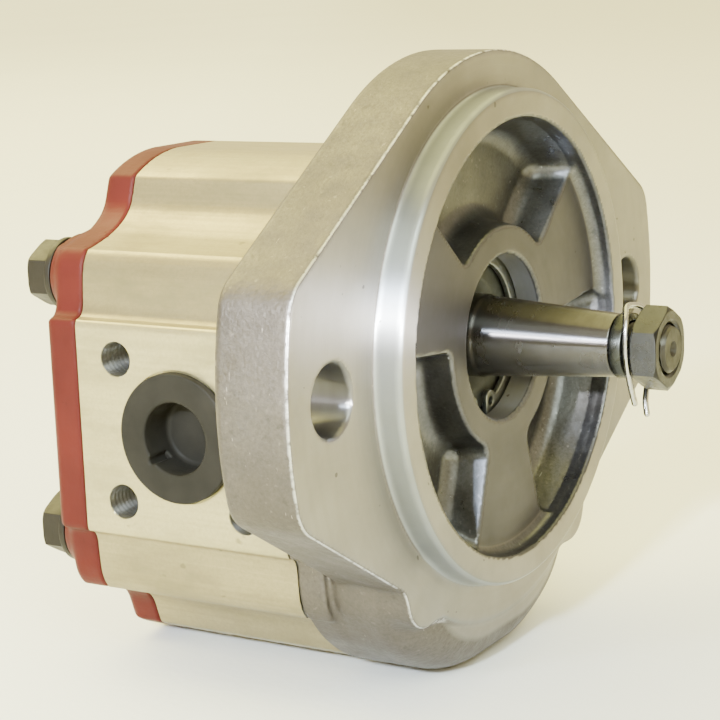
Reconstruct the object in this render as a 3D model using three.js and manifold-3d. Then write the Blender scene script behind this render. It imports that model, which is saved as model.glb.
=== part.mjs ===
// Hydraulic gear pump: two meshing gear shafts in a three-piece housing with a two-bolt pilot flange.
//
// Every piece is built in the pump's own frame, in millimetres: X runs along the drive shaft with 0 on the
// flange's mounting face and + towards the shaft end, Y is across the flange ears and Z is up, with the drive
// shaft's axis on Y = Z = 0. The last lines lift the finished group so that it stands on Z = 0.

import * as THREE from "three";
import { mergeVertices } from "three/addons/utils/BufferGeometryUtils.js";
import Module from "manifold-3d";

const wasm = await Module();
wasm.setup();

// ---- Driving dimensions (mm) -------------------------------------------------------------------------

const GAP = 0.3; // left between pieces that touch
const OVERRUN = 1; // how far cutters and joined pieces run past the face they meet

// Flange with its pilot
const PILOT_RADIUS = 41.275;
const PILOT_HEIGHT = 4.75;
const PILOT_CHAMFER = 0.6;
const EAR_THICKNESS = 13;
const EAR_REACH = 65; // from the shaft axis to the end of each ear
const EAR_CORNER_RADIUS = 7;
const FLANGE_RADIUS = 47.5;
const FLANGE_TAPER = THREE.MathUtils.degToRad(31.5); // slope of the sides that run out to the ears
const MOUNT_HOLE_RADIUS = 5.55;
const MOUNT_HOLE_OFFSET = 53.2;

// Recess inside the pilot, its hub and webs
const RECESS_RADIUS = 36.45;
const RECESS_FLOOR = -5.5;
const HUB_RADIUS = 18.7;
const HUB_FACE = 1.4;
const SEAL_BORE_RADIUS = 13.8;
const SEAL_BORE_FLOOR = -12.5;
const SHAFT_HOLE_RADIUS = 7.5; // behind the seal bore, round the drive journal
const WEB_ANGLES = [24, 156, 270].map(THREE.MathUtils.degToRad);
const WEB_ROOT_RADIUS = 16.7; // the webs start inside the hub and end inside the pilot
const WEB_ROOT_WIDTH = 13;
const WEB_RIM_RADIUS = 37.45;
const WEB_RIM_WIDTH = 26.4;

// Housing stack along X
const COVER_JOINT = -19.2; // rear face of the front cover
const BODY_FRONT = COVER_JOINT - GAP;
const BODY_LENGTH = 40.3;
const BODY_REAR = BODY_FRONT - BODY_LENGTH;
const BODY_MIDDLE = (BODY_FRONT + BODY_REAR) / 2;
const REAR_COVER_FRONT = BODY_REAR - GAP;
const REAR_COVER_PLATE = 6.4;
const REAR_COVER_BOSS = 8.0;
const REAR_COVER_CHAMFER = 1.2;
const BOLT_BOSS_RADIUS = 6.6;
const SPINE_RADIUS = 13;

// Housing section
const GEAR_CENTRES = 25.4;
const DRIVEN_Z = -GEAR_CENTRES;
const MIDDLE_Z = DRIVEN_Z / 2;
const BODY_HALF_HEIGHT = 43.8;
const BODY_HALF_WIDTH = 37.3;
const FOOT_HALF_WIDTH = 6; // flat along the top and the bottom of the housing
const CHEEK_HALF_WIDTH = 34.5;
const CHEEK_DEPTH = 8; // how far behind the mounting face the cheek reaches its full size
const CHEEK_STEPS = [0, 0.08, 0.3, 0.6, 1]; // shares of that depth at which its section is laid out
const CHEEK_INSET = 5; // the most by which the cheek's front edge leaves its full section

// Gears and their bearings
const TEETH = 10;
const PRESSURE_ANGLE = THREE.MathUtils.degToRad(25);
const BACKLASH = 0.16;
const TIP_RADIUS = 15;
const ROOT_RADIUS = 10;
const GEAR_WIDTH = 12.5;
const JOURNAL_RADIUS = 7;
const JOURNAL_CHAMFER = 0.6;
const GEAR_BORE_RADIUS = 15.4;
const BLOCK_RADIUS = 15.05;
const BUSH_INNER_RADIUS = 7.35;
const BUSH_OUTER_RADIUS = 8.3;

// Tapered shaft end
const TAPER_START = -1.5;
const TAPER_END = 22;
const TAPER_START_RADIUS = 6.77;
const TAPER_END_RADIUS = 5.13;
const THREAD_RADIUS = 3.95;
const THREAD_CHAMFER = 0.5;
const SHAFT_TIP = 31.2;
const CENTRE_HOLE_RADIUS = 1.3;
const CENTRE_HOLE_DEPTH = 1.8;
const KEY_X = 11;
const KEY_RADIUS = 6.5;
const KEY_WIDTH = 3;
const KEY_BOTTOM_Y = 2.4;
const KEY_HEIGHT = 5;
const WASHER_THICKNESS = 2;
const WASHER_RADIUS = 5.4;
const NUT_START = 26.2;
const NUT_THICKNESS = 4.5;
const NUT_ACROSS_FLATS = 12;
const WIRE_RADIUS = 0.5;

// Housing fasteners
const BOLT_RADIUS = 3;
const BOLT_HOLE_RADIUS = BOLT_RADIUS + GAP;
const BOLT_HEAD_HEIGHT = 4.3;
const BOLT_HEAD_ACROSS_FLATS = 10;
const BOLT_TIP = -5.6;
const BOLT_HOLE_END = -4.8;
const BOLT_WASHER_RADIUS = 6.3;
const BOLT_WASHER_THICKNESS = 1.2;
const BOLT_AXES = {
  upper_left: [-26.6, 11.3],
  upper_right: [26.6, 11.3],
  lower_left: [-27.2, -33.4],
  lower_right: [27.2, -33.4],
};
const LUG_RADIUS = 5.9;
const LUG_Z = -36.8;
const LUG_Y = 26.8;
const DOWEL_RADIUS = 2;
const DOWEL_LENGTH = 7;
const DOWEL_Y = 29;

// Ports
const PORT_RADIUS = 7.5;
const PORT_SCREW_RADIUS = 3.2;
const PORT_SCREW_DEPTH = 12.5;
const PORT_SCREW_OFFSET = 12.15;
const PORT_SEAT_DEPTH = 0.5; // shallow round seat in each pad for the plug's rim
const PLUG_RADIUS = 10.9;
const PLUG_FRONT = 1.4; // how far the rim stands above the pad
const PLUG_RIM_CHAMFER = 0.3;
const PLUG_DEPTH = 8;
const PLUG_LEAD_IN = 0.5;
const PLUG_RECESS_RADIUS = 6;
const PLUG_RECESS_TAPER = 0.3;
const PLUG_RECESS_DEPTH = 6;

// Seals
const BODY_SEAL_RADII = [17.3, 19.3];
const BODY_SEAL_THICKNESS = 1.6;
const PRESSURE_SEAL_RADII = [11.3, 13.3];
const PRESSURE_SEAL_THICKNESS = 1.6;
const PRESSURE_SEAL_REACH = 4; // how far the seal's open ends stop short of the middle plane
const SHAFT_SEAL_RADIUS = 13.5;
const SHAFT_SEAL_BACK = -12.1;
const SHAFT_SEAL_FRONT = -5;

// Circlip in front of the shaft seal
const RING_GROOVE = [-4.6, -3.1]; // rear and front wall of its groove
const RING_GROOVE_RADIUS = 14.7;
const CIRCLIP = [-4.35, -3.4];
const CIRCLIP_INNER_RADIUS = 12.2;
const CIRCLIP_HALF_OPENING = 1.6;
const CIRCLIP_EYE = { radius: 1.9, hole: 0.8, y: 3.2, z: -12 };

// ---- Turning three.js geometry into solids and back --------------------------------------------------

// A shape drawn in (y, z) and extruded comes out along X; a lathe profile's height becomes X.
const EXTRUDE_ALONG_X = new THREE.Matrix4().makeBasis(
  new THREE.Vector3(0, 1, 0),
  new THREE.Vector3(0, 0, 1),
  new THREE.Vector3(1, 0, 0),
);
const LATHE_ALONG_X = new THREE.Matrix4().makeBasis(
  new THREE.Vector3(0, 0, 1),
  new THREE.Vector3(1, 0, 0),
  new THREE.Vector3(0, 1, 0),
);

function solidOf(geometry) {
  const bare = geometry.clone();
  bare.deleteAttribute("normal");
  bare.deleteAttribute("uv");
  const merged = mergeVertices(bare, 1e-4);
  return new wasm.Manifold(
    new wasm.Mesh({
      numProp: 3,
      vertProperties: merged.attributes.position.array,
      triVerts: new Uint32Array(merged.index.array),
    }),
  );
}

function geometryOf(solid) {
  const mesh = solid.getMesh();
  const geometry = new THREE.BufferGeometry();
  geometry.setAttribute("position", new THREE.BufferAttribute(mesh.vertProperties, 3));
  geometry.setIndex(new THREE.BufferAttribute(mesh.triVerts, 1));
  geometry.computeVertexNormals();
  return geometry;
}

const join = (first, ...others) => others.reduce((whole, part) => whole.add(part), first);
const cut = (first, ...others) => others.reduce((whole, part) => whole.subtract(part), first);

// A flat outline in (y, z), as points or a THREE.Shape, made solid from x0 to x1.
function plate(outline, x0, x1) {
  const shape = outline instanceof THREE.Shape ? outline : new THREE.Shape(outline);
  const geometry = new THREE.ExtrudeGeometry(shape, { depth: x1 - x0, bevelEnabled: false });
  return solidOf(geometry.applyMatrix4(EXTRUDE_ALONG_X).translate(x0, 0, 0));
}

// A body turned about X. The profile's [x, radius] points run forwards along the outside, then back.
function turned(profile, segments = 24) {
  const points = profile.map(([x, radius]) => new THREE.Vector2(radius, x));
  return solidOf(new THREE.LatheGeometry(points, segments).applyMatrix4(LATHE_ALONG_X));
}

function rod(x0, x1, radius, y = 0, z = 0, segments = 12) {
  const geometry = new THREE.CylinderGeometry(radius, radius, x1 - x0, segments);
  return solidOf(geometry.rotateZ(-Math.PI / 2).translate((x0 + x1) / 2, y, z));
}

function crossRod(y0, y1, radius, x, z, segments) {
  const geometry = new THREE.CylinderGeometry(radius, radius, y1 - y0, segments);
  return solidOf(geometry.translate(x, (y0 + y1) / 2, z));
}

function ring(x0, x1, innerRadius, outerRadius, segments = 24) {
  const profile = [
    [x0, innerRadius],
    [x0, outerRadius],
    [x1, outerRadius],
    [x1, innerRadius],
    [x0, innerRadius],
  ];
  return turned(profile, segments);
}

function block(x0, x1, y0, y1, z0, z1) {
  const geometry = new THREE.BoxGeometry(x1 - x0, y1 - y0, z1 - z0);
  return solidOf(geometry.translate((x0 + x1) / 2, (y0 + y1) / 2, (z0 + z1) / 2));
}

// Joins anticlockwise outlines of the same number of points, in order of x, into a closed body.
function loft(sections) {
  const count = sections[0].points.length;
  const vertices = [];
  const faces = [];
  for (const { x, points } of sections) {
    for (const p of points) {
      vertices.push(x, p.x, p.y);
    }
  }
  for (let row = 0; row + 1 < sections.length; row++) {
    for (let i = 0; i < count; i++) {
      const a = row * count + i;
      const b = row * count + ((i + 1) % count);
      faces.push(a, b, b + count, a, b + count, a + count);
    }
  }
  const last = (sections.length - 1) * count;
  for (const [a, b, c] of THREE.ShapeUtils.triangulateShape(sections[0].points, [])) {
    faces.push(a, c, b);
  }
  for (const [a, b, c] of THREE.ShapeUtils.triangulateShape(sections.at(-1).points, [])) {
    faces.push(last + a, last + b, last + c);
  }
  const geometry = new THREE.BufferGeometry();
  geometry.setAttribute("position", new THREE.Float32BufferAttribute(vertices, 3));
  geometry.setIndex(faces);
  return solidOf(geometry);
}

// Completes an outline from its quarter, which runs from the top middle to the right middle.
function mirrorQuarter(quarter) {
  const below = quarter.slice(0, -1).reverse().map((p) => new THREE.Vector2(p.x, -p.y));
  const right = [...quarter, ...below];
  const left = right.slice(1, -1).reverse().map((p) => new THREE.Vector2(-p.x, p.y));
  return [...right, ...left].reverse();
}

const shifted = (points, z) => points.map((p) => new THREE.Vector2(p.x, p.y + z));

// ---- Housing outlines --------------------------------------------------------------------------------

// Flange: a disc with two straight-sided ears whose ends are arcs about the shaft axis.
function flangeOutline() {
  const normal = new THREE.Vector2(Math.sin(FLANGE_TAPER), Math.cos(FLANGE_TAPER));
  const along = new THREE.Vector2(normal.y, -normal.x);
  const cornerOffset = FLANGE_RADIUS - EAR_CORNER_RADIUS;
  const cornerReach = EAR_REACH - EAR_CORNER_RADIUS;
  const corner = normal
    .clone()
    .multiplyScalar(cornerOffset)
    .addScaledVector(along, Math.sqrt(cornerReach ** 2 - cornerOffset ** 2));
  const sideAngle = Math.PI / 2 - FLANGE_TAPER;
  const path = new THREE.Path();
  path.absarc(0, 0, FLANGE_RADIUS, Math.PI / 2, sideAngle, true);
  path.absarc(corner.x, corner.y, EAR_CORNER_RADIUS, sideAngle, corner.angle(), true);
  path.absarc(0, 0, EAR_REACH, corner.angle(), 0, true);
  return mirrorQuarter(path.getPoints(3));
}

// Housing body: shallow crown, a concave groove on each shoulder, a lobe round each bolt and flat port pads.
function bodyOutline() {
  const path = new THREE.Path();
  path.moveTo(0, BODY_HALF_HEIGHT);
  path.lineTo(FOOT_HALF_WIDTH, BODY_HALF_HEIGHT);
  path.quadraticCurveTo(12.5, 43.4, 17.8, 40.3);
  path.quadraticCurveTo(19.5, 39.4, 19.6, 37.3);
  path.quadraticCurveTo(20.4, 33.2, 28.2, 30.5);
  path.quadraticCurveTo(33.9, 29.8, 34.4, 24.6);
  path.lineTo(34.8, 20.8);
  path.quadraticCurveTo(35, 18.6, 36.4, 18.4);
  path.quadraticCurveTo(BODY_HALF_WIDTH, 18.2, BODY_HALF_WIDTH, 17.2);
  path.lineTo(BODY_HALF_WIDTH, 0);
  return shifted(mirrorQuarter(path.getPoints(3)), MIDDLE_Z);
}

// Two discs of one radius about the gear axes.
function twinRods(x0, x1, radius, segments) {
  return join(
    rod(x0, x1, radius, 0, 0, segments),
    rod(x0, x1, radius, 0, DRIVEN_Z, segments),
  );
}

// Race-track outline about both gear axes.
function trackOutline(radius) {
  const path = new THREE.Path();
  path.absarc(0, 0, radius, 0, Math.PI, false);
  path.absarc(0, DRIVEN_Z, radius, Math.PI, 2 * Math.PI, false);
  return path.getPoints(8);
}

function trackRing(x0, x1, innerRadius, outerRadius) {
  const shape = new THREE.Shape(trackOutline(outerRadius));
  shape.holes.push(new THREE.Path(trackOutline(innerRadius)));
  return plate(shape, x0, x1);
}

// ---- Materials and assembly --------------------------------------------------------------------------

const FINISHES = {
  cast_aluminium: { color: 0xa9a08c, roughness: 0.5, metalness: 0.75 },
  extruded_aluminium: { color: 0xcfc7b0, roughness: 0.45, metalness: 0.7 },
  red_paint: { color: 0xa8503f, roughness: 0.5, metalness: 0 },
  ground_steel: { color: 0x9a9384, roughness: 0.2, metalness: 1 },
  gear_steel: { color: 0x8e8b86, roughness: 0.3, metalness: 1 },
  black_steel: { color: 0x57524a, roughness: 0.55, metalness: 0.7 },
  nut_steel: { color: 0x8d8b84, roughness: 0.35, metalness: 0.9 },
  zinc_wire: { color: 0xd8d6cc, roughness: 0.25, metalness: 1 },
  bearing_aluminium: { color: 0xb8b5ac, roughness: 0.4, metalness: 0.8 },
  bush_bronze: { color: 0xa8844e, roughness: 0.4, metalness: 0.9 },
  nitrile_rubber: { color: 0x1d1d1c, roughness: 0.8, metalness: 0 },
  plug_plastic: { color: 0x47443e, roughness: 0.55, metalness: 0 },
};

const pump = new THREE.Group();

function add(name, solid, finish, parent = pump) {
  const material = new THREE.MeshStandardMaterial({ ...FINISHES[finish], flatShading: true });
  const mesh = new THREE.Mesh(geometryOf(solid), material);
  mesh.name = name;
  parent.add(mesh);
  return mesh;
}

// ---- Holes shared by the housing pieces --------------------------------------------------------------

const boltHoles = (x0, x1) =>
  Object.values(BOLT_AXES).map(([y, z]) => rod(x0, x1, BOLT_HOLE_RADIUS, y, z));

const dowelHoles = (x0, x1) =>
  [-1, 1].map((side) => rod(x0, x1, DOWEL_RADIUS + GAP, side * DOWEL_Y, MIDDLE_Z));

const DOWEL_REACH = DOWEL_LENGTH / 2 + GAP; // depth of a dowel's hole in each of the two pieces

// ---- Front cover -------------------------------------------------------------------------------------

// Full section of the cheek below the ears, from its right top corner round the bottom to its left.
function cheekSection() {
  const path = new THREE.Path();
  const footZ = MIDDLE_Z - BODY_HALF_HEIGHT;
  path.moveTo(CHEEK_HALF_WIDTH, -20);
  path.lineTo(CHEEK_HALF_WIDTH, -35);
  path.bezierCurveTo(CHEEK_HALF_WIDTH, -44, 20, -56, FOOT_HALF_WIDTH, footZ);
  const right = path.getPoints(6);
  const left = right.map((p) => new THREE.Vector2(-p.x, p.y)).reverse();
  return [...right, ...left].reverse();
}

// The cheek swells from the flange's round lower edge to its full section along a quarter circle.
function cheek() {
  const full = cheekSection();
  const sections = CHEEK_STEPS.map((depth) => {
    const swell = Math.sqrt(1 - (1 - depth) ** 2);
    const points = full.map((p) => {
      const reach = THREE.MathUtils.lerp(FLANGE_RADIUS, p.length(), swell);
      return p.clone().setLength(Math.min(reach, p.length() + CHEEK_INSET));
    });
    return { x: -depth * CHEEK_DEPTH, points };
  });
  sections.push({ x: COVER_JOINT, points: full });
  return loft(sections.reverse());
}

// One web of the recess: a wedge from the hub out to the pilot ring, flush with the hub's face.
function web(angle) {
  const corners = [
    [WEB_ROOT_RADIUS, -WEB_ROOT_WIDTH / 2],
    [WEB_RIM_RADIUS, -WEB_RIM_WIDTH / 2],
    [WEB_RIM_RADIUS, WEB_RIM_WIDTH / 2],
    [WEB_ROOT_RADIUS, WEB_ROOT_WIDTH / 2],
  ];
  const centre = new THREE.Vector2();
  const outline = corners.map(([r, w]) => new THREE.Vector2(r, w).rotateAround(centre, angle));
  return plate(outline, RECESS_FLOOR - OVERRUN, HUB_FACE);
}

function frontCover() {
  const lugs = [-1, 1].map((side) =>
    rod(-EAR_THICKNESS + OVERRUN, 0, LUG_RADIUS, side * LUG_Y, LUG_Z),
  );
  const base = join(
    plate(flangeOutline(), -EAR_THICKNESS, 0),
    plate(bodyOutline(), COVER_JOINT, -EAR_THICKNESS + OVERRUN),
    cheek(),
    turned(
      [
        [-OVERRUN, 0],
        [-OVERRUN, PILOT_RADIUS],
        [PILOT_HEIGHT - PILOT_CHAMFER, PILOT_RADIUS],
        [PILOT_HEIGHT, PILOT_RADIUS - PILOT_CHAMFER],
        [PILOT_HEIGHT, 0],
      ],
      48,
    ),
    ...lugs,
  );
  const hollow = cut(base, rod(RECESS_FLOOR, PILOT_HEIGHT + OVERRUN, RECESS_RADIUS, 0, 0, 48));
  const hub = rod(RECESS_FLOOR - OVERRUN, HUB_FACE, HUB_RADIUS, 0, 0, 32);
  const filled = join(hollow, hub, ...WEB_ANGLES.map(web));
  const mountHoles = [-1, 1].map((side) =>
    rod(-EAR_THICKNESS - OVERRUN, OVERRUN, MOUNT_HOLE_RADIUS, side * MOUNT_HOLE_OFFSET, 0, 24),
  );
  return cut(
    filled,
    rod(SEAL_BORE_FLOOR, HUB_FACE + OVERRUN, SEAL_BORE_RADIUS, 0, 0, 32),
    rod(...RING_GROOVE, RING_GROOVE_RADIUS, 0, 0, 32),
    rod(COVER_JOINT - OVERRUN, SEAL_BORE_FLOOR + OVERRUN, SHAFT_HOLE_RADIUS, 0, 0, 24),
    ...mountHoles,
    ...boltHoles(COVER_JOINT - OVERRUN, BOLT_HOLE_END),
    ...dowelHoles(COVER_JOINT - OVERRUN, COVER_JOINT + DOWEL_REACH),
  );
}

add("mounting_flange_cover", frontCover(), "cast_aluminium");

// ---- Body --------------------------------------------------------------------------------------------

const SEAL_GROOVE_DEPTH = BODY_SEAL_THICKNESS + GAP;
const portSides = { inlet: -1, outlet: 1 };

function pumpBody() {
  const grooveInner = BODY_SEAL_RADII[0] - GAP;
  const grooveOuter = BODY_SEAL_RADII[1] + GAP;
  const ports = [];
  for (const side of Object.values(portSides)) {
    const span = (inner, outer) => (side > 0 ? [inner, outer] : [-outer, -inner]);
    const outside = BODY_HALF_WIDTH + OVERRUN;
    const seat = span(BODY_HALF_WIDTH - PORT_SEAT_DEPTH, outside);
    ports.push(
      crossRod(...span(GEAR_BORE_RADIUS / 2, outside), PORT_RADIUS, BODY_MIDDLE, MIDDLE_Z, 24),
      crossRod(...seat, PLUG_RADIUS + GAP, BODY_MIDDLE, MIDDLE_Z, 24),
    );
    for (const dx of [-1, 1]) {
      for (const dz of [-1, 1]) {
        ports.push(
          crossRod(
            ...span(BODY_HALF_WIDTH - PORT_SCREW_DEPTH, outside),
            PORT_SCREW_RADIUS,
            BODY_MIDDLE + dx * PORT_SCREW_OFFSET,
            MIDDLE_Z + dz * PORT_SCREW_OFFSET,
            16,
          ),
        );
      }
    }
  }
  return cut(
    plate(bodyOutline(), BODY_REAR, BODY_FRONT),
    twinRods(BODY_REAR - OVERRUN, BODY_FRONT + OVERRUN, GEAR_BORE_RADIUS, 36),
    trackRing(BODY_FRONT - SEAL_GROOVE_DEPTH, BODY_FRONT + OVERRUN, grooveInner, grooveOuter),
    trackRing(BODY_REAR - OVERRUN, BODY_REAR + SEAL_GROOVE_DEPTH, grooveInner, grooveOuter),
    ...ports,
    ...boltHoles(BODY_REAR - OVERRUN, BODY_FRONT + OVERRUN),
    ...dowelHoles(BODY_FRONT - DOWEL_REACH, BODY_FRONT + OVERRUN),
    ...dowelHoles(BODY_REAR - OVERRUN, BODY_REAR + DOWEL_REACH),
  );
}

add("pump_body", pumpBody(), "extruded_aluminium");

// ---- Rear cover --------------------------------------------------------------------------------------

const REAR_COVER_BACK = REAR_COVER_FRONT - REAR_COVER_PLATE;
const BOSS_BACK = REAR_COVER_FRONT - REAR_COVER_BOSS;

function rearCover() {
  const outline = bodyOutline();
  const middle = new THREE.Vector2(0, MIDDLE_Z);
  const inset = outline.map((p) => p.clone().lerp(middle, REAR_COVER_CHAMFER / BODY_HALF_WIDTH));
  const slab = loft([
    { x: REAR_COVER_BACK, points: inset },
    { x: REAR_COVER_BACK + REAR_COVER_CHAMFER, points: outline },
    { x: REAR_COVER_FRONT, points: outline },
  ]);
  const inSlab = REAR_COVER_BACK + REAR_COVER_CHAMFER + OVERRUN;
  const bosses = Object.values(BOLT_AXES).map(([y, z]) =>
    rod(BOSS_BACK, inSlab, BOLT_BOSS_RADIUS, y, z),
  );
  const spine = twinRods(BOSS_BACK, inSlab, SPINE_RADIUS, 24);
  return cut(
    join(slab, spine, ...bosses),
    ...boltHoles(BOSS_BACK - OVERRUN, REAR_COVER_FRONT + OVERRUN),
    ...dowelHoles(REAR_COVER_FRONT - DOWEL_REACH, REAR_COVER_FRONT + OVERRUN),
  );
}

add("rear_cover", rearCover(), "red_paint");

// ---- Gear shafts -------------------------------------------------------------------------------------

const GEAR_REAR = BODY_MIDDLE - GEAR_WIDTH / 2;
const GEAR_FRONT = BODY_MIDDLE + GEAR_WIDTH / 2;
const JOURNAL_REAR = BODY_REAR + 2 * GAP;
const JOURNAL_FRONT = BODY_FRONT - 2 * GAP;

// Involute gear outline about (0, centreZ) with a tooth centred on the angle firstTooth.
function gearOutline(firstTooth, centreZ) {
  const involute = (angle) => Math.tan(angle) - angle;
  const pitchRadius = GEAR_CENTRES / 2;
  const baseRadius = pitchRadius * Math.cos(PRESSURE_ANGLE);
  const halfPitchTooth = Math.PI / (2 * TEETH) - BACKLASH / (2 * pitchRadius);
  const halfTooth = (radius) => {
    const atRadius = radius > baseRadius ? Math.acos(baseRadius / radius) : 0;
    return halfPitchTooth + involute(PRESSURE_ANGLE) - involute(atRadius);
  };
  const flankSteps = 4;
  const flank = [ROOT_RADIUS];
  for (let i = 0; i <= flankSteps; i++) {
    flank.push(THREE.MathUtils.lerp(baseRadius, TIP_RADIUS, i / flankSteps));
  }
  const points = [];
  for (let tooth = 0; tooth < TEETH; tooth++) {
    const middle = firstTooth + (tooth * 2 * Math.PI) / TEETH;
    const rising = flank.map((radius) => [radius, middle - halfTooth(radius)]);
    const falling = flank.map((radius) => [radius, middle + halfTooth(radius)]).reverse();
    for (const [radius, angle] of [...rising, ...falling]) {
      points.push(new THREE.Vector2(radius * Math.cos(angle), radius * Math.sin(angle) + centreZ));
    }
  }
  return points;
}

function driveShaft() {
  const shaft = turned([
    [JOURNAL_REAR, 0],
    [JOURNAL_REAR, JOURNAL_RADIUS - JOURNAL_CHAMFER],
    [JOURNAL_REAR + JOURNAL_CHAMFER, JOURNAL_RADIUS],
    [TAPER_START - JOURNAL_CHAMFER, JOURNAL_RADIUS],
    [TAPER_START, TAPER_START_RADIUS],
    [TAPER_END, TAPER_END_RADIUS],
    [TAPER_END, THREAD_RADIUS],
    [SHAFT_TIP - THREAD_CHAMFER, THREAD_RADIUS],
    [SHAFT_TIP, THREAD_RADIUS - THREAD_CHAMFER],
    [SHAFT_TIP, CENTRE_HOLE_RADIUS],
    [SHAFT_TIP - CENTRE_HOLE_DEPTH, 0],
  ]);
  const gear = plate(gearOutline(-Math.PI / 2, 0), GEAR_REAR, GEAR_FRONT);
  const keyway = keyDisc(KEY_RADIUS + GAP, KEY_WIDTH + 2 * GAP);
  return cut(join(shaft, gear), keyway);
}

function drivenShaft() {
  const shaft = turned([
    [JOURNAL_REAR, 0],
    [JOURNAL_REAR, JOURNAL_RADIUS - JOURNAL_CHAMFER],
    [JOURNAL_REAR + JOURNAL_CHAMFER, JOURNAL_RADIUS],
    [JOURNAL_FRONT - JOURNAL_CHAMFER, JOURNAL_RADIUS],
    [JOURNAL_FRONT, JOURNAL_RADIUS - JOURNAL_CHAMFER],
    [JOURNAL_FRONT, 0],
  ]).translate([0, 0, DRIVEN_Z]);
  const firstTooth = Math.PI / 2 + Math.PI / TEETH;
  return join(shaft, plate(gearOutline(firstTooth, DRIVEN_Z), GEAR_REAR, GEAR_FRONT));
}

// Disc of the half-moon key, standing across Z with its lowest point in the shaft.
function keyDisc(radius, width) {
  const disc = new THREE.CylinderGeometry(radius, radius, width, 24);
  return solidOf(disc.rotateX(Math.PI / 2).translate(KEY_X, KEY_BOTTOM_Y + KEY_RADIUS, 0));
}

add("drive_gear_shaft", driveShaft(), "ground_steel");
add("driven_gear_shaft", drivenShaft(), "gear_steel");

// ---- Shaft end fittings ------------------------------------------------------------------------------

const keyTop = KEY_BOTTOM_Y + KEY_HEIGHT;
const keyWaste = block(
  KEY_X - KEY_RADIUS - OVERRUN,
  KEY_X + KEY_RADIUS + OVERRUN,
  keyTop,
  keyTop + 2 * KEY_RADIUS,
  -KEY_WIDTH,
  KEY_WIDTH,
);
add("woodruff_key", cut(keyDisc(KEY_RADIUS, KEY_WIDTH), keyWaste), "gear_steel");

const washerStart = TAPER_END + GAP;
const washerEnd = washerStart + WASHER_THICKNESS;
add("shaft_washer", ring(washerStart, washerEnd, THREAD_RADIUS + GAP, WASHER_RADIUS), "black_steel");

const HEX_CHAMFER = 0.65; // how far along X the corners of a nut or bolt head are rounded off
const HEX_CHAMFER_INSET = 0.1; // how far the rounding's end circle lies inside the flats

// Hexagonal prism along X with one corner upwards, its corners rounded off at the chosen ends.
function hexPrism(x0, x1, acrossFlats, chamferBack, chamferFront) {
  const corner = acrossFlats / Math.sqrt(3);
  const end = acrossFlats / 2 - HEX_CHAMFER_INSET;
  const clear = corner + OVERRUN;
  const envelope = turned([
    [x0, 0],
    [x0, chamferBack ? end : clear],
    [x0 + HEX_CHAMFER, corner + HEX_CHAMFER_INSET],
    [x1 - HEX_CHAMFER, corner + HEX_CHAMFER_INSET],
    [x1, chamferFront ? end : clear],
    [x1, 0],
  ]);
  return rod(x0, x1, corner, 0, 0, 6).intersect(envelope);
}

const nutEnd = NUT_START + NUT_THICKNESS;
const nutBlank = hexPrism(NUT_START, nutEnd, NUT_ACROSS_FLATS, true, true);
const nutHole = rod(NUT_START - OVERRUN, nutEnd + OVERRUN, THREAD_RADIUS + GAP, 0, 0, 24);
add("shaft_nut", cut(nutBlank, nutHole), "nut_steel");

// Spring wire bent over the thread between the washer and the nut, with both tails hanging down.
function retainingWire() {
  const route = [
    [26.5, -4.7, -8.3],
    [25.8, -5.1, -4.6],
    [25.3, -5.2, -0.6],
    [25.2, -5.0, 3],
    [24.7, -3.8, 5.4],
    [23.8, -1.6, 6.5],
    [23.7, 1, 6.5],
    [24.4, 3.4, 5.7],
    [25.2, 5.0, 3.2],
    [25.3, 5.2, -0.6],
    [25.3, 4.9, -4],
    [25.2, 3.5, -7],
    [25.5, 2, -9.4],
    [26, 1.4, -11.4],
  ];
  const path = new THREE.CatmullRomCurve3(route.map((p) => new THREE.Vector3(...p)));
  const section = new THREE.Shape();
  section.absarc(0, 0, WIRE_RADIUS, 0, 2 * Math.PI);
  const wire = new THREE.ExtrudeGeometry(section, { steps: 32, curveSegments: 3, extrudePath: path });
  return solidOf(wire);
}

add("nut_retaining_wire", retainingWire(), "zinc_wire");

// ---- Bearing blocks and bushes -----------------------------------------------------------------------

const bearingEnds = {
  front: { outer: BODY_FRONT - GAP, inner: GEAR_FRONT + GAP },
  rear: { outer: BODY_REAR + GAP, inner: GEAR_REAR - GAP },
};
const axes = { drive: 0, driven: DRIVEN_Z };

// The pressure seal is shaped like a 3: two half rings that meet between the gear axes.
function pressureSealShape(x0, x1, [innerRadius, outerRadius], openSide) {
  const upper = ring(x0, x1, innerRadius, outerRadius);
  const rings = join(upper, upper.translate([0, 0, DRIVEN_Z]));
  const beyond = 2 * GEAR_CENTRES;
  const openHalf = block(x0 - OVERRUN, x1 + OVERRUN, -beyond, openSide, -beyond, beyond);
  return cut(rings, openHalf);
}

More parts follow.
